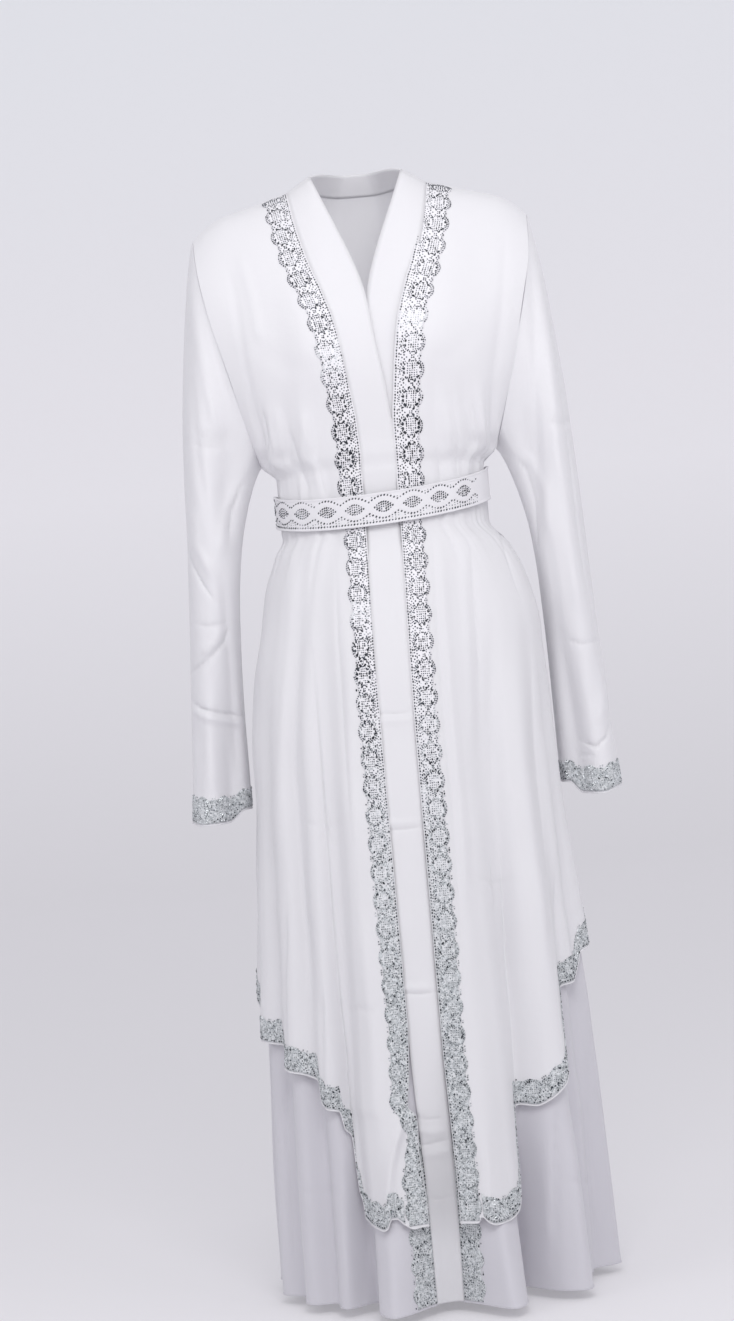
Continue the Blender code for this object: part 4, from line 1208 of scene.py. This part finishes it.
def medallion_stones(length, is_edge, seed, side=1, shine=0.0):
    """Places along and across a trim, sizes and directions of its stones, for each kind."""
    random = np.random.default_rng(seed)
    count = max(1, round(length / PITCH))
    stretch = length / count / PITCH
    found = {kind: [] for kind in STONE_KINDS}

    def put(s, t, size, kind, spin, dense):
        if not END_CLEAR < s < length - END_CLEAR or t < EDGE_CLEAR:
            return
        # lit and dark say how far the place gets the painted glint of light stones, or lacks it and gets
        # more dark, bold stones
        lit = near(s, PAINTED_GLINT_PLACES[side]) if is_edge else shine
        dark = near(s, NO_GLINT_PLACES[side]) if is_edge else 0.0

        def chance(of):
            return float(np.dot(CHANCES[of], (1.0, dark, dense, lit)))

        if kind == "bold" and random.uniform() > chance("bold stays"):
            kind, size = "small", SMALL
        if kind == "dark" and random.uniform() > chance("dark turns"):
            kind = "bold"
        elif kind in ("small", "grid", "dark"):
            kind = "painted_glint" if random.uniform() < chance("painted_glint") else "small"
            if kind == "small" and random.uniform() < chance("grey"):
                kind = "grey"
            elif kind == "small" and random.uniform() < chance("bold"):
                kind, size = "bold", SMALL
        elif kind == "bold":
            size = BOLD * (1 + NO_GLINT_GROWTH * dark)
        s += random.normal(0, STRAY)
        t += random.normal(0, STRAY)
        found[kind].append((s, t, size * random.uniform(*STONE_SIZES), spin))

    for i in range(count):
        centre = (i + 0.5) * PITCH * stretch
        dense = density(centre, is_edge)
        for u, v, size, kind, spin in medallion():
            if MEDALLION_AT + v > CLEAR_FROM and random.uniform() > MISSING:
                put(centre + u * stretch, MEDALLION_AT + v, size, kind, spin, dense)
        for u, v, size, kind, spin in filling():
            t = MEDALLION_AT + v
            if CLEAR_FROM < t < CLEAR_TO and random.uniform() < dense * FILL_SHARE:
                put(centre + u * stretch, t, size, kind, spin, dense)
        for u, t in BETWEEN_MEDALLIONS:
            put(centre + PITCH / 2 + u, t, SMALL, "small", 0.0, dense)
    for row, t in enumerate(STRAIGHT_ROWS):
        for s in np.arange(0.0012 + 0.0008 * row, length - 0.001, STRAIGHT_STEP):
            dense = ROW_DENSITY * density(s, is_edge)
            if row == 0:
                put(s, t, SMALL, "dark", 0.0, dense)
            elif random.uniform() < SECOND_ROW_SHARE:
                put(s, t, SECOND_ROW_SIZE * SMALL, "small", 0.0, dense)
    return {kind: np.array(rows).reshape(-1, 4) for kind, rows in found.items()}


def facing(shape, flip):
    """A mesh's vertices and faces, the faces turned over where flip is -1."""
    verts, faces = shape
    return verts, faces if flip > 0 else [face[::-1] for face in faces]


# The step of the differences that give directions on a trim or the belt
STEP_ALONG = 0.0008


def frames_on(mapping, s, t, flip):
    """Points of a mapped strip, with their directions along, across and outwards."""
    point = mapping(s, t)
    along = unit(mapping(s + STEP_ALONG, t) - mapping(s - STEP_ALONG, t))
    across = mapping(s, t + STEP_ALONG) - mapping(s, t - STEP_ALONG)
    out = unit(np.cross(along, across)) * flip
    return point, along, np.cross(out, along), out


# A bold stone is longer than it is wide and has a flat top. The others come to a point.
BOLD_LENGTH, BOLD_HEIGHT, BOLD_TOP = 1.5, 0.75, 0.55
POINT_HEIGHT = 0.85


def stone_mesh(mapping, stones, kind, lift, flip):
    """Vertices and faces of cut stones set on a mapped strip."""
    s, t, size, spin = stones.T
    point, along, across, out = frames_on(mapping, s, t, flip)
    bold = kind == "bold"
    turns = np.linspace(0, 2 * math.pi, STONE_SIDES, endpoint=False)[None]
    longer = BOLD_LENGTH if bold else 1.0
    cos, sin = np.cos(spin)[:, None], np.sin(spin)[:, None]
    u = longer * np.cos(turns) * cos - np.sin(turns) * sin
    v = longer * np.cos(turns) * sin + np.sin(turns) * cos
    flat = u[..., None] * along[:, None] + v[..., None] * across[:, None]
    size = size[:, None, None]
    point, out = point[:, None], out[:, None]
    base = point + lift * out + size * flat
    each = 2 * STONE_SIDES if bold else STONE_SIDES + 1
    start = each * np.arange(len(s))[:, None]
    k = np.arange(STONE_SIDES)[None]
    after = (k + 1) % STONE_SIDES
    if not bold:
        tip = point + (lift + POINT_HEIGHT * size) * out
        verts = np.concatenate([base, tip], axis=1).reshape(-1, 3)
        faces = np.stack([start + k, start + after, start + STONE_SIDES + 0 * k], axis=-1)
        return verts, faces.reshape(-1, 3).tolist()
    top = point + (lift + BOLD_HEIGHT * size) * out + BOLD_TOP * size * flat
    verts = np.concatenate([base, top], axis=1).reshape(-1, 3)
    upper = start + STONE_SIDES
    rims = np.stack([start + k, start + after, upper + after, upper + k], axis=-1).tolist()
    tops = (upper + k).tolist()
    return verts, [face for rim, cap in zip(rims, tops) for face in (*rim, cap)]


def add_stones(name, node, mapping, found, lift, flip):
    """The stones of a mapped strip, a piece for each kind."""
    for kind, stones in found.items():
        if len(stones):
            shape = facing(stone_mesh(mapping, stones, kind, lift, flip), flip)
            dress(f"{name}_{kind}", node, shape, STONE_KINDS[kind], smooth=False)


def scallop_edge(s, length):
    """How far across a trim's ground reaches at a distance along it."""
    pitch = length / max(1, round(length / PITCH))
    from_centre = np.abs((s / pitch) % 1.0 - 0.5) * PITCH
    round_part = np.sqrt(np.clip(SCALLOP_RADIUS**2 - from_centre**2, 0, None))
    return MEDALLION_AT + np.maximum(round_part, NOTCH_REACH)


# Distances across a trim at which its room and its direction are taken, and at how many places
# along it
ROOM_FROM, ROOM_TO = 0.002, 0.028
ROOM_MIDDLE = 0.015
ROOM_STEP = 0.001
ROOM_PLACES = 400
ROOM_SHARE, ROOM_LEAST = 1.2, 0.25


def room_at(mapping, length, s):
    """How much of its width a trim has at distances along it: less where its hem is steep."""
    at = np.linspace(ROOM_STEP, length - ROOM_STEP, ROOM_PLACES)
    along = unit(mapping(at + ROOM_STEP, ROOM_MIDDLE) - mapping(at - ROOM_STEP, ROOM_MIDDLE))
    across = (mapping(at, ROOM_TO) - mapping(at, ROOM_FROM)) / (ROOM_TO - ROOM_FROM)
    across = across - np.sum(across * along, axis=-1, keepdims=True) * along
    return np.interp(s, at, np.linalg.norm(across, axis=-1))


# A trim's ground: its columns for each medallion, its rows and the heights of its two sides
GROUND_COLUMNS, GROUND_ROWS = 12, 7
GROUND_LOW, GROUND_HIGH = 0.0002, 0.0005
GROUND_EDGE = 0.0006


def add_trim(name, node, mapping, length, is_edge, seed, centre_of, side=1, shine=0.0):
    """A trim: its scalloped ground and its stones, which stand for one solid."""
    count = max(1, round(length / PITCH))
    s = np.linspace(0, length, GROUND_COLUMNS * count + 1)[:, None]
    share = np.linspace(0, 1, GROUND_ROWS)
    t = -GROUND_EDGE + (scallop_edge(s, length) + GROUND_EDGE) * share
    middle, _, _, trial = frames_on(mapping, np.array([length / 2]), np.array([ROOM_MIDDLE]), 1.0)
    flip = np.sign(np.sum(trial * (middle - centre_of(middle))))
    point, _, _, out = frames_on(mapping, s + 0 * t, t, flip)
    shape = facing(wall_mesh(point, out, GROUND_LOW, GROUND_HIGH), flip)
    dress(f"{name}_ground", node, shape, EDGE_NET if is_edge else HEM_NET)
    random = np.random.default_rng(seed + 1000)
    found = medallion_stones(length, is_edge, seed, side, shine)
    for kind, stones in found.items():
        room = np.clip(ROOM_SHARE * room_at(mapping, length, stones[:, 0]), ROOM_LEAST, 1)
        found[kind] = stones[random.uniform(size=len(stones)) < room]
    add_stones(name, node, mapping, found, GROUND_HIGH, flip)


def path_lengths(path):
    return np.concatenate([[0], np.cumsum(np.linalg.norm(np.diff(path, axis=0), axis=-1))])


# How many points the lengths of a front's, a hem's and a cuff's trim are measured through
EDGE_POINTS, HEM_POINTS, CUFF_POINTS = 400, 1500, 721

# Where the right front's trim is pinched by the fold over its corner
PINCH_DROP, PINCH_HALF, PINCH_SHARE = 1.122, 0.048, 0.42


def edge_trim(name, node, side, surface, top, bottom, is_edge, seed):
    """Trim beside a front's edge, from the drop top to the drop bottom."""
    drops = np.linspace(top, bottom, EDGE_POINTS)

    def place(drop, t):
        across = t * trim_width(drop) / (MEDALLION_AT + SCALLOP_RADIUS)
        if side < 0:
            across = across * (1 - PINCH_SHARE * bump(drop - PINCH_DROP, PINCH_HALF))
        return surface(side * angle_at(front_edge(drop) + across, drop), drop)

    lengths = path_lengths(place(drops, 0.017))

    def mapping(s, t):
        return place(np.interp(s, lengths, drops), t)

    add_trim(name, node, mapping, lengths[-1], is_edge, seed, body_middle, side)


# The hem trims are a little lower than the edge trims, and start this far above the hem
HEM_SHARE = 0.86
HEM_GAP = 0.0022


def hem_trim(name, node, surface, first, last, seed):
    """Trim above the outer hem between two angles."""
    angles = np.linspace(first, last, HEM_POINTS)
    lengths = path_lengths(surface(angles, outer_hem(angles) - ROOM_MIDDLE))

    def mapping(s, t):
        angle = np.interp(s, lengths, angles)
        return surface(angle, outer_hem(angle) - HEM_GAP - HEM_SHARE * t)

    add_trim(name, node, mapping, lengths[-1], False, seed, body_middle)


# More of the cuffs' stones are light ones, as painted glint, than the hem's. Their trim starts this far
# above the hem, and its length is taken at a place along the sleeve.
CUFF_PAINTED_GLINT = 0.32
CUFF_GAP = 0.0025
CUFF_PLACE, CUFF_MIDDLE = 0.975, 0.97


def cuff_trim(name, node, side, seed):
    angles = np.linspace(0, 360, CUFF_POINTS)
    lengths = path_lengths(sleeve_surface(angles, CUFF_PLACE, side))

    def mapping(s, t):
        return sleeve_surface(np.interp(s, lengths, angles), 1 - (t + CUFF_GAP) / SLEEVE_LENGTH, side)

    def centre_of(_):
        return sleeve_surface(np.arange(0, 360, 15.0), CUFF_MIDDLE, side).mean(axis=0)[None]

    add_trim(name, node, mapping, lengths[-1], False, seed, centre_of, shine=CUFF_PAINTED_GLINT)


# Lengths of the flat sheets
FRONT_LENGTH, BACK_LENGTH, UNDER_LENGTH, SLEEVE_LENGTH = 1.26, 0.95, 0.97, 0.62

# Radii of the rolled edges
HEM_ROLL, EDGE_ROLL, UNDER_ROLL = 0.0008, 0.0006, 0.0009

# The drop at which a front's straight edge ends
FRONT_END = 1.225


def add_sheet(node, points, material, rolls, ring=False):
    """A sheet of cloth and its rolled edges, with a name, a path and a radius for each."""
    made = dress(f"cloth_{node}", node, (points, grid_faces(*points.shape[:2], ring)), material)
    edges = [dress(name, node, tube(path, radius, ring), material) for name, path, radius in rolls]


def edge_angle(drop):
    """The angle of a front's straight edge at a drop."""
    return angle_at(front_edge(drop), drop)


# Outer layer and underskirt
NAMES = ((-1, "right"), (1, "left"))
for side, name in NAMES:
    hem_angles = side * np.linspace(edge_angle(FRONT_END), 90, 560)
    edge_drops = np.linspace(0, FRONT_END, 500)
    rolls = (
        (f"hem_front_{name}", front_point(hem_angles, outer_hem(hem_angles)), HEM_ROLL),
        (f"edge_front_{name}", front_point(side * edge_angle(edge_drops), edge_drops), EDGE_ROLL),
    )
    add_sheet(f"front_{name}", front_point(*front_grid(side)), WHITE, rolls)

rows, cols = BACK_GRID
angle = np.linspace(90, 270, cols)[None, :]
back_angles = np.linspace(90, 270, 700)
rolls = (("hem_back", back_point(back_angles, outer_hem(back_angles)), HEM_ROLL),)
add_sheet("back", back_point(angle, outer_rows(rows, outer_hem(angle))), WHITE, rolls)

rows, cols = UNDER_FRONT_GRID
drop = np.broadcast_to(np.linspace(UNDER_TOP, HEM_DROP, rows)[:, None], (rows, cols))
for side, name in NAMES:
    angle = side * front_columns(edge_column_shares(cols)[None, :], drop)
    hem_angles = side * np.linspace(edge_angle(HEM_DROP), 90, 420)
    rolls = ((f"hem_underskirt_front_{name}", under_front_point(hem_angles, HEM_DROP), UNDER_ROLL),)
    add_sheet(f"underskirt_front_{name}", under_front_point(angle, drop), UNDER_PAINTED_SHADE,
              rolls)

rows, cols = UNDER_BACK_GRID
angle, drop = np.meshgrid(np.linspace(90, 270, cols), np.linspace(UNDER_TOP, HEM_DROP, rows))
rolls = (("hem_underskirt_back", under_back_point(back_angles, HEM_DROP), UNDER_ROLL),)
add_sheet("underskirt_back", under_back_point(angle, drop), UNDER_PAINTED_SHADE, rolls)


# Front bands and back neck band. Below the belt the bands are pressed forward by the body. A band
# starts just inside its own front's edge, and its free edge stops short of the other's.
STRIP_LIFT = 0.0036
OWN_OVERLAP, FREE_GAP, FREE_MORE, FREE_FROM = 0.0005, 0.0004, 0.0009, 0.26
BAND_HALF = 0.0006
NECK_BAND_HALF = 0.0009
NECK_BAND_GRID = (9, 61)


def left_band_point(angle, drop):
    drop = np.asarray(drop, float)
    behind = 0.0028 * ease((drop - 0.05) / 0.06) + 0.0020 * ease((drop - 0.9) / 0.3)
    return under_point(angle, drop, behind=behind)


def band_surface(angle, drop, side):
    """A point of a front band with its fine creases. The left band lies behind the right one."""
    base = left_band_point(angle, drop) if side > 0 else under_point(angle, drop)
    more = crease_relief(base, STRIP_CREASES)
    more = more + wave_relief("band", angle, drop) + blouse_fill(angle, drop)
    more = more + STRIP_LIFT * ease((drop - 0.40) / 0.04) * (1 - ease((drop - 1.04) / 0.17))
    outwards = np.stack([np.sin(np.radians(angle)), -np.cos(np.radians(angle)), 0 * angle], axis=-1)
    return lean(base + more[..., None] * outwards, drop)


def band_normals(angle, drop, side, points):
    """Unit normals of a band by differences, pointing away from the figure."""
    across = band_surface(angle + STEP_ANGLE, drop, side) - band_surface(angle - STEP_ANGLE, drop, side)
    down = band_surface(angle, drop + STEP_DROP, side) - band_surface(angle, drop - STEP_DROP, side)
    normal = unit(np.cross(across, down))
    away = np.sum(normal * (points - body_middle(points)), axis=-1, keepdims=True)
    return np.where(away < 0, -normal, normal)


rows, cols = BAND_GRID
drop = np.tile((HEM_DROP * np.linspace(0, 1, rows) ** 1.15)[:, None], (1, cols))
own = -(front_edge(drop) + OWN_OVERLAP)
free = read(FREE_EDGE, drop)
free = np.where(drop > FREE_FROM, np.minimum(front_edge(drop) - FREE_GAP, free + FREE_MORE), free)
rounding = np.minimum(np.arange(cols), np.arange(cols)[::-1]) / 2.0
half = BAND_HALF * np.sqrt(1 - (1 - np.clip(rounding, 0, 1)) ** 2 * 0.75)
for side, name in NAMES:
    angle = angle_at(-side * (own + (free - own) * np.linspace(0, 1, cols)), drop)
    points = band_surface(angle, drop, side)
    normals = band_normals(angle, drop, side, points)
    shape = wall_mesh(points, normals * half[None, :, None], -1.0, 1.0)
    dress(f"cloth_band_{name}", f"band_{name}", shape, WHITE)


def neck_band():
    """Grid of the back neck band, from its free edge down to the neckline, and its normals."""
    rows, cols = NECK_BAND_GRID
    neck = angle_at(NECK_HALF, 0.0)
    low = cloth_point(180.0 + np.linspace(-neck, neck, cols), 0.0, back=True)
    along = low[:, 0] / NECK_HALF
    high = np.stack([along * COLLAR_HALF, low[:, 1] * COLLAR_DEPTH_SHARE,
                     COLLAR_LIFT + COLLAR_BACK_RISE * (1 - along**2)], axis=-1)
    points = low + (high - low) * np.linspace(1, 0, rows)[:, None, None]
    normals = grid_normals(points)
    out = np.sum(normals * (points - np.array([0, 0, 0.03])), axis=-1).mean()
    return points, normals * np.sign(out)


shape = wall_mesh(*neck_band(), -NECK_BAND_HALF, NECK_BAND_HALF)
dress("cloth_band_back_neck", "band_back_neck", shape, WHITE)

# Sleeves
rows, cols = SLEEVE_GRID
angle, place = np.meshgrid(np.linspace(0, 360, cols, endpoint=False), np.linspace(0, 1, rows))
for side, name in NAMES:
    cuff = sleeve_surface(np.linspace(0, 360, 240, endpoint=False), 1.0, side)
    rolls = ((f"hem_cuff_{name}", cuff, HEM_ROLL),)
    points = sleeve_surface(angle, place, side)
    add_sheet(f"sleeve_{name}", points, WHITE, rolls, ring=True)

# Trims: the drops between which the two trims of a front run, where the hem's trim starts beside
# them, how many degrees it keeps from the side seams, and each trim's seed
EDGE_SPAN, FOOT_SPAN = (0.002, 1.2205), (1.12, 1.320)
HEM_START = 0.0008
SEAM_GAP = 0.1
EDGE_SEED, FOOT_SEED, HEM_SEED, CUFF_SEED, BACK_SEED = 100, 110, 120, 130, 140
for side, name in NAMES:
    edge_trim(f"trim_edge_{name}", f"trim_front_{name}", side, front_point, *EDGE_SPAN, True,
              EDGE_SEED + side)
    edge_trim(f"trim_foot_{name}", f"trim_underskirt_{name}", side, under_front_point, *FOOT_SPAN, False,
              FOOT_SEED + side)
    start = side * angle_at(front_edge(FRONT_END) + trim_width(FRONT_END) + HEM_START, FRONT_END)
    end = side * (90 - SEAM_GAP)
    hem_trim(f"trim_stepped_hem_{name}", f"trim_hem_{name}", front_point, start, end, HEM_SEED + side)
    cuff_trim(f"trim_sleeve_{name}", f"trim_cuff_{name}", side, CUFF_SEED + side)
hem_trim("trim_stepped_hem_back", "trim_hem_back", back_point, 90 + SEAM_GAP, 270 - SEAM_GAP, BACK_SEED)

# Belt. Places on it are a distance along it, from the middle of the front towards the left side,
# and a height above its middle line. Its pattern is a chain of lenses filled with a grid of
# stones, dotted rows that wave round them, and the plain bands left between the two.
LENS = 0.0348
CHAIN_HEIGHT = 0.0022
LENS_WAVE, LENS_CUT = 0.0130, 0.0071
DOTTED_WAVE, DOTTED_BASE = 0.0068, 0.0070
BELT_RIM = 0.0168
LOW_ROW = -0.0154
PATTERN_ANGLES = (-100.0, 61.0)
BELT_GRID = (700, 29)
BELT_STONE = 0.00100

# Steps of the lenses' grid along and up, and of the dotted rows
LENS_STEP = (0.0027, 0.0029)
DOT_STEP = 0.0038
ROW_SHARE = 0.85

# Heights of the rims and plain bands, how wide the bands' edges are, how far they keep from the
# stones, and over what length they start and end
RIM_HEIGHT, PLAIN_HEIGHT = 0.0009, 0.00012
PLAIN_SLOPE, PLAIN_GAP, PLAIN_ENDS = 0.0008, 0.0012, 0.002

# The belt's wall: how far its face and its back lie from its surface, and its surface from the
# solid's inner side
BELT_FACE, BELT_BACK, BELT_STANDS = 0.0003, -0.0021, 0.0009

# The belt's stones: their direction and seed, how many are missing, how far they keep from the
# pattern's ends and from its rims, and over what lengths they pale at the two ends. Small grey ones
# fill part of the plain cloth.
BELT_SPIN, BELT_SEED, BELT_MISSING = 0.785, 200, 0.02
END_GAP, RIM_GAP = 0.001, 0.0022
PALE_START, PALE_END, PALE_SHARE = 0.05, 0.03, 0.7
FILL_GREY, GREY_SIZE = 0.6, 0.8


def belt_line(angle):
    """Points of the belt's middle line with the unit normals there."""
    angle = turn(np.asarray(angle, float), 0.0)
    drop = np.full(angle.shape, (WAIST_TOP + WAIST_END) / 2)
    is_front = np.abs(angle) <= 90
    points = np.where(is_front[..., None], cloth_point(angle, drop), cloth_point(angle, drop, back=True))
    depth = np.where(is_front, section("front", drop), section("back", drop))
    normals = points / np.stack([section("half_width", drop) ** 2, depth**2, FAR + 0 * drop], axis=-1)
    normals[..., 2] = 0
    points[..., 2] = -belt_middle(angle)
    return points, unit(normals)


BELT_TURNS = np.linspace(-180, 180, 1441)
BELT_LENGTHS = path_lengths(belt_line(BELT_TURNS)[0])
BELT_LENGTHS = BELT_LENGTHS - np.interp(0, BELT_TURNS, BELT_LENGTHS)
PATTERN = np.interp(PATTERN_ANGLES, BELT_TURNS, BELT_LENGTHS)


def belt_surface(s, h):
    """A point of the belt's face."""
    points, normals = belt_line(np.interp(s, BELT_LENGTHS, BELT_TURNS))
    lifted = points + normals * (BELT_LIFT + BELT_STANDS)
    lifted[..., 2] = lifted[..., 2] + h
    return lifted


def wave(s):
    """1 at a lens's middle and 0 where two lenses meet."""
    return np.abs(np.cos(math.pi * s / LENS))


def lens_and_dots(s):
    """How far from the chain's middle a lens and its dotted row reach."""
    return LENS_WAVE * wave(s) - LENS_CUT, DOTTED_WAVE * wave(s) + DOTTED_BASE


def belt_relief(s, h):
    """Height of the belt's raised rims, and of its plain bands, which stand a little proud."""
    rim = RIM_HEIGHT * ease((np.abs(h) - BELT_RIM) / RIM_HEIGHT)
    on = ease((s - PATTERN[0]) / PLAIN_ENDS) * (1 - ease((s - PATTERN[1]) / PLAIN_ENDS))
    lens, dotted = lens_and_dots(s)
    off = np.abs(h - CHAIN_HEIGHT)
    bands = PLAIN_HEIGHT * ease((off - lens - PLAIN_GAP) / PLAIN_SLOPE)
    return np.maximum(rim, bands * ease((dotted - PLAIN_GAP - off) / PLAIN_SLOPE) * on)


def belt_stones():
    """Places, sizes and kinds of the belt's stones."""
    random = np.random.default_rng(BELT_SEED)
    found = {kind: [] for kind in STONE_KINDS}
    first, last = PATTERN + np.array([END_GAP, -END_GAP])

    def put(s, h, kind="small", size=BELT_STONE, bold_share=0.5):
        if not first < s < last or random.uniform() < BELT_MISSING:
            return
        faint = ease((PALE_START - s + first) / PALE_START) + 0.5 * ease((s - last + PALE_END) / PALE_END)
        if kind == "small" and random.uniform() < PALE_SHARE * faint:
            kind = "grey"
        elif kind == "small" and random.uniform() < bold_share:
            kind = "bold"
        found[kind].append((s, CHAIN_HEIGHT + h, size * random.uniform(0.85, 1.12), BELT_SPIN))

    along, up = LENS_STEP
    for number in range(math.floor(first / LENS), math.ceil(last / LENS) + 1):
        for column in range(-4, 5):
            s = number * LENS + along * column
            reach = float(lens_and_dots(s)[0])
            for h in np.linspace(-reach, reach, max(1, round(2 * reach / up)) + 1):
                put(s, h)
    for s in np.arange(first, last, DOT_STEP):
        dotted = float(lens_and_dots(s)[1])
        put(s, LOW_ROW - CHAIN_HEIGHT, bold_share=ROW_SHARE)
        for sign, edge in ((1, BELT_RIM - CHAIN_HEIGHT), (-1, CHAIN_HEIGHT - LOW_ROW)):
            put(s, sign * dotted, bold_share=ROW_SHARE)
            for h in np.arange(dotted + up, edge - RIM_GAP, up):
                if random.uniform() < FILL_GREY:
                    put(s, sign * h, "grey", GREY_SIZE * BELT_STONE)
    return {kind: np.array(rows).reshape(-1, 4) for kind, rows in found.items()}


count, rows = BELT_GRID
s = BELT_LENGTHS[0] + (BELT_LENGTHS[-1] - BELT_LENGTHS[0]) * np.arange(count) / count
h = np.linspace(-0.5, 0.5, rows) * BELT_WIDTH
s_grid, h_grid = np.meshgrid(s, h)
points = belt_surface(s_grid, h_grid)
_, normals = belt_line(np.interp(s_grid, BELT_LENGTHS, BELT_TURNS))
face = (belt_relief(s_grid, h_grid) + BELT_FACE)[..., None]
dress("belt_cloth", "belt", wall_mesh(points, normals, face, BELT_BACK, ring=True), BELT_WHITE)
add_stones("belt", "belt", belt_surface, belt_stones(), BELT_FACE, 1.0)

# Floor and backdrop: one swept sheet with a rounded corner. Its tone changes with the height, each row of
# the steps from one height to the next. The floor is darker than the wall: painted shade for the light
# falling off towards the bottom.
FLOOR, WALL, CORNER = -1.335, 7.5, 2.0
FLOOR_NEAR, WALL_TOP, BACKDROP_HALF = -14.0, 7.0, 14.0
FLOOR_TONE = (0.575, 0.563, 0.585)
BACKDROP_STEPS = ((-1.30, 0.20, (0.77, 0.76, 0.785)), (0.60, 2.20, (0.755, 0.77, 0.795)))
BACKDROP_GLOW = 0.235


def backdrop_material():
    made, tree, shader = new_material("backdrop", (0.80, 0.80, 0.82), 0.9, specular=0.1)
    shader.inputs["Emission Color"].default_value = (0.98, 0.97, 1.0, 1.0)
    shader.inputs["Emission Strength"].default_value = BACKDROP_GLOW
    place = add_node(tree, "TexCoord")
    split = add_node(tree, "SeparateXYZ")
    wire(tree, (place, "Object", split, "Vector"))
    below = None
    for low, high, tone in BACKDROP_STEPS:
        ramp = add_node(tree, "MapRange", From_Min=low, From_Max=high)
        mix = add_mix(tree, FLOOR_TONE, tone)
        wire(tree, (split, "Z", ramp, "Value"), (ramp, "Result", mix, "Factor"))
        if below:
            wire(tree, (below, "Result", mix, "A"))
        below = mix
    wire(tree, (below, "Result", shader, "Base Color"))
    return made


line = [(y, FLOOR) for y in np.linspace(FLOOR_NEAR, WALL - CORNER, 24)]
for a in np.linspace(0, math.pi / 2, 17)[1:]:
    line.append((WALL - CORNER + CORNER * math.sin(a), FLOOR + CORNER - CORNER * math.cos(a)))
line += [(WALL, z) for z in np.linspace(FLOOR + CORNER, WALL_TOP, 10)[1:]]
xs = np.linspace(-BACKDROP_HALF, BACKDROP_HALF, 9)
points = np.array([[(x, y, z) for x in xs] for y, z in line])
add_mesh("backdrop", points, grid_faces(len(line), len(xs)), backdrop_material())

# Light: name, place, aim, size, power and colour
LIGHTS = (
    ("key", (0.16, -1.8, 0.72), (0.02, 0.0, -0.25), (1.1, 1.0), 20, (1.0, 1.0, 0.99)),
    ("left_fill", (-2.4, -1.8, 0.2), (0.0, 0.0, -0.3), (1.8, 2.2), 11.5, (0.99, 0.98, 1.0)),
    ("right_fill", (2.4, -1.8, 0.2), (0.0, 0.0, -0.3), (1.8, 2.2), 11, (0.99, 0.98, 1.0)),
)
WORLD_COLOUR, WORLD_STRENGTH = (0.95, 0.95, 1.0, 1.0), 0.68


for name, at, aim, size, power, colour in LIGHTS:
    light = bpy.data.lights.new(name, "AREA")
    light.shape = "RECTANGLE"
    light.size, light.size_y = size
    light.energy = power
    light.color = colour
    made = bpy.data.objects.new(name, light)
    made.location = at
    x, y, z = np.array(aim) - np.array(at)
    made.rotation_euler = (math.atan2(math.hypot(x, y), -z), 0.0, math.atan2(y, x) - math.pi / 2)
    bpy.context.scene.collection.objects.link(made)

world = bpy.data.worlds.new("studio")
bpy.context.scene.world = world
world.use_nodes = True
world.node_tree.nodes["Background"].inputs["Color"].default_value = WORLD_COLOUR
world.node_tree.nodes["Background"].inputs["Strength"].default_value = WORLD_STRENGTH
bpy.context.scene.view_settings.view_transform = "Standard"

# Camera
lens = bpy.data.cameras.new("camera")
lens.lens = CAMERA_LENS
camera = bpy.data.objects.new("camera", lens)
camera.location = CAMERA_AT
camera.rotation_euler = (math.pi / 2, math.radians(CAMERA_ROLL), 0.0)
bpy.context.scene.collection.objects.link(camera)
bpy.context.scene.camera = camera
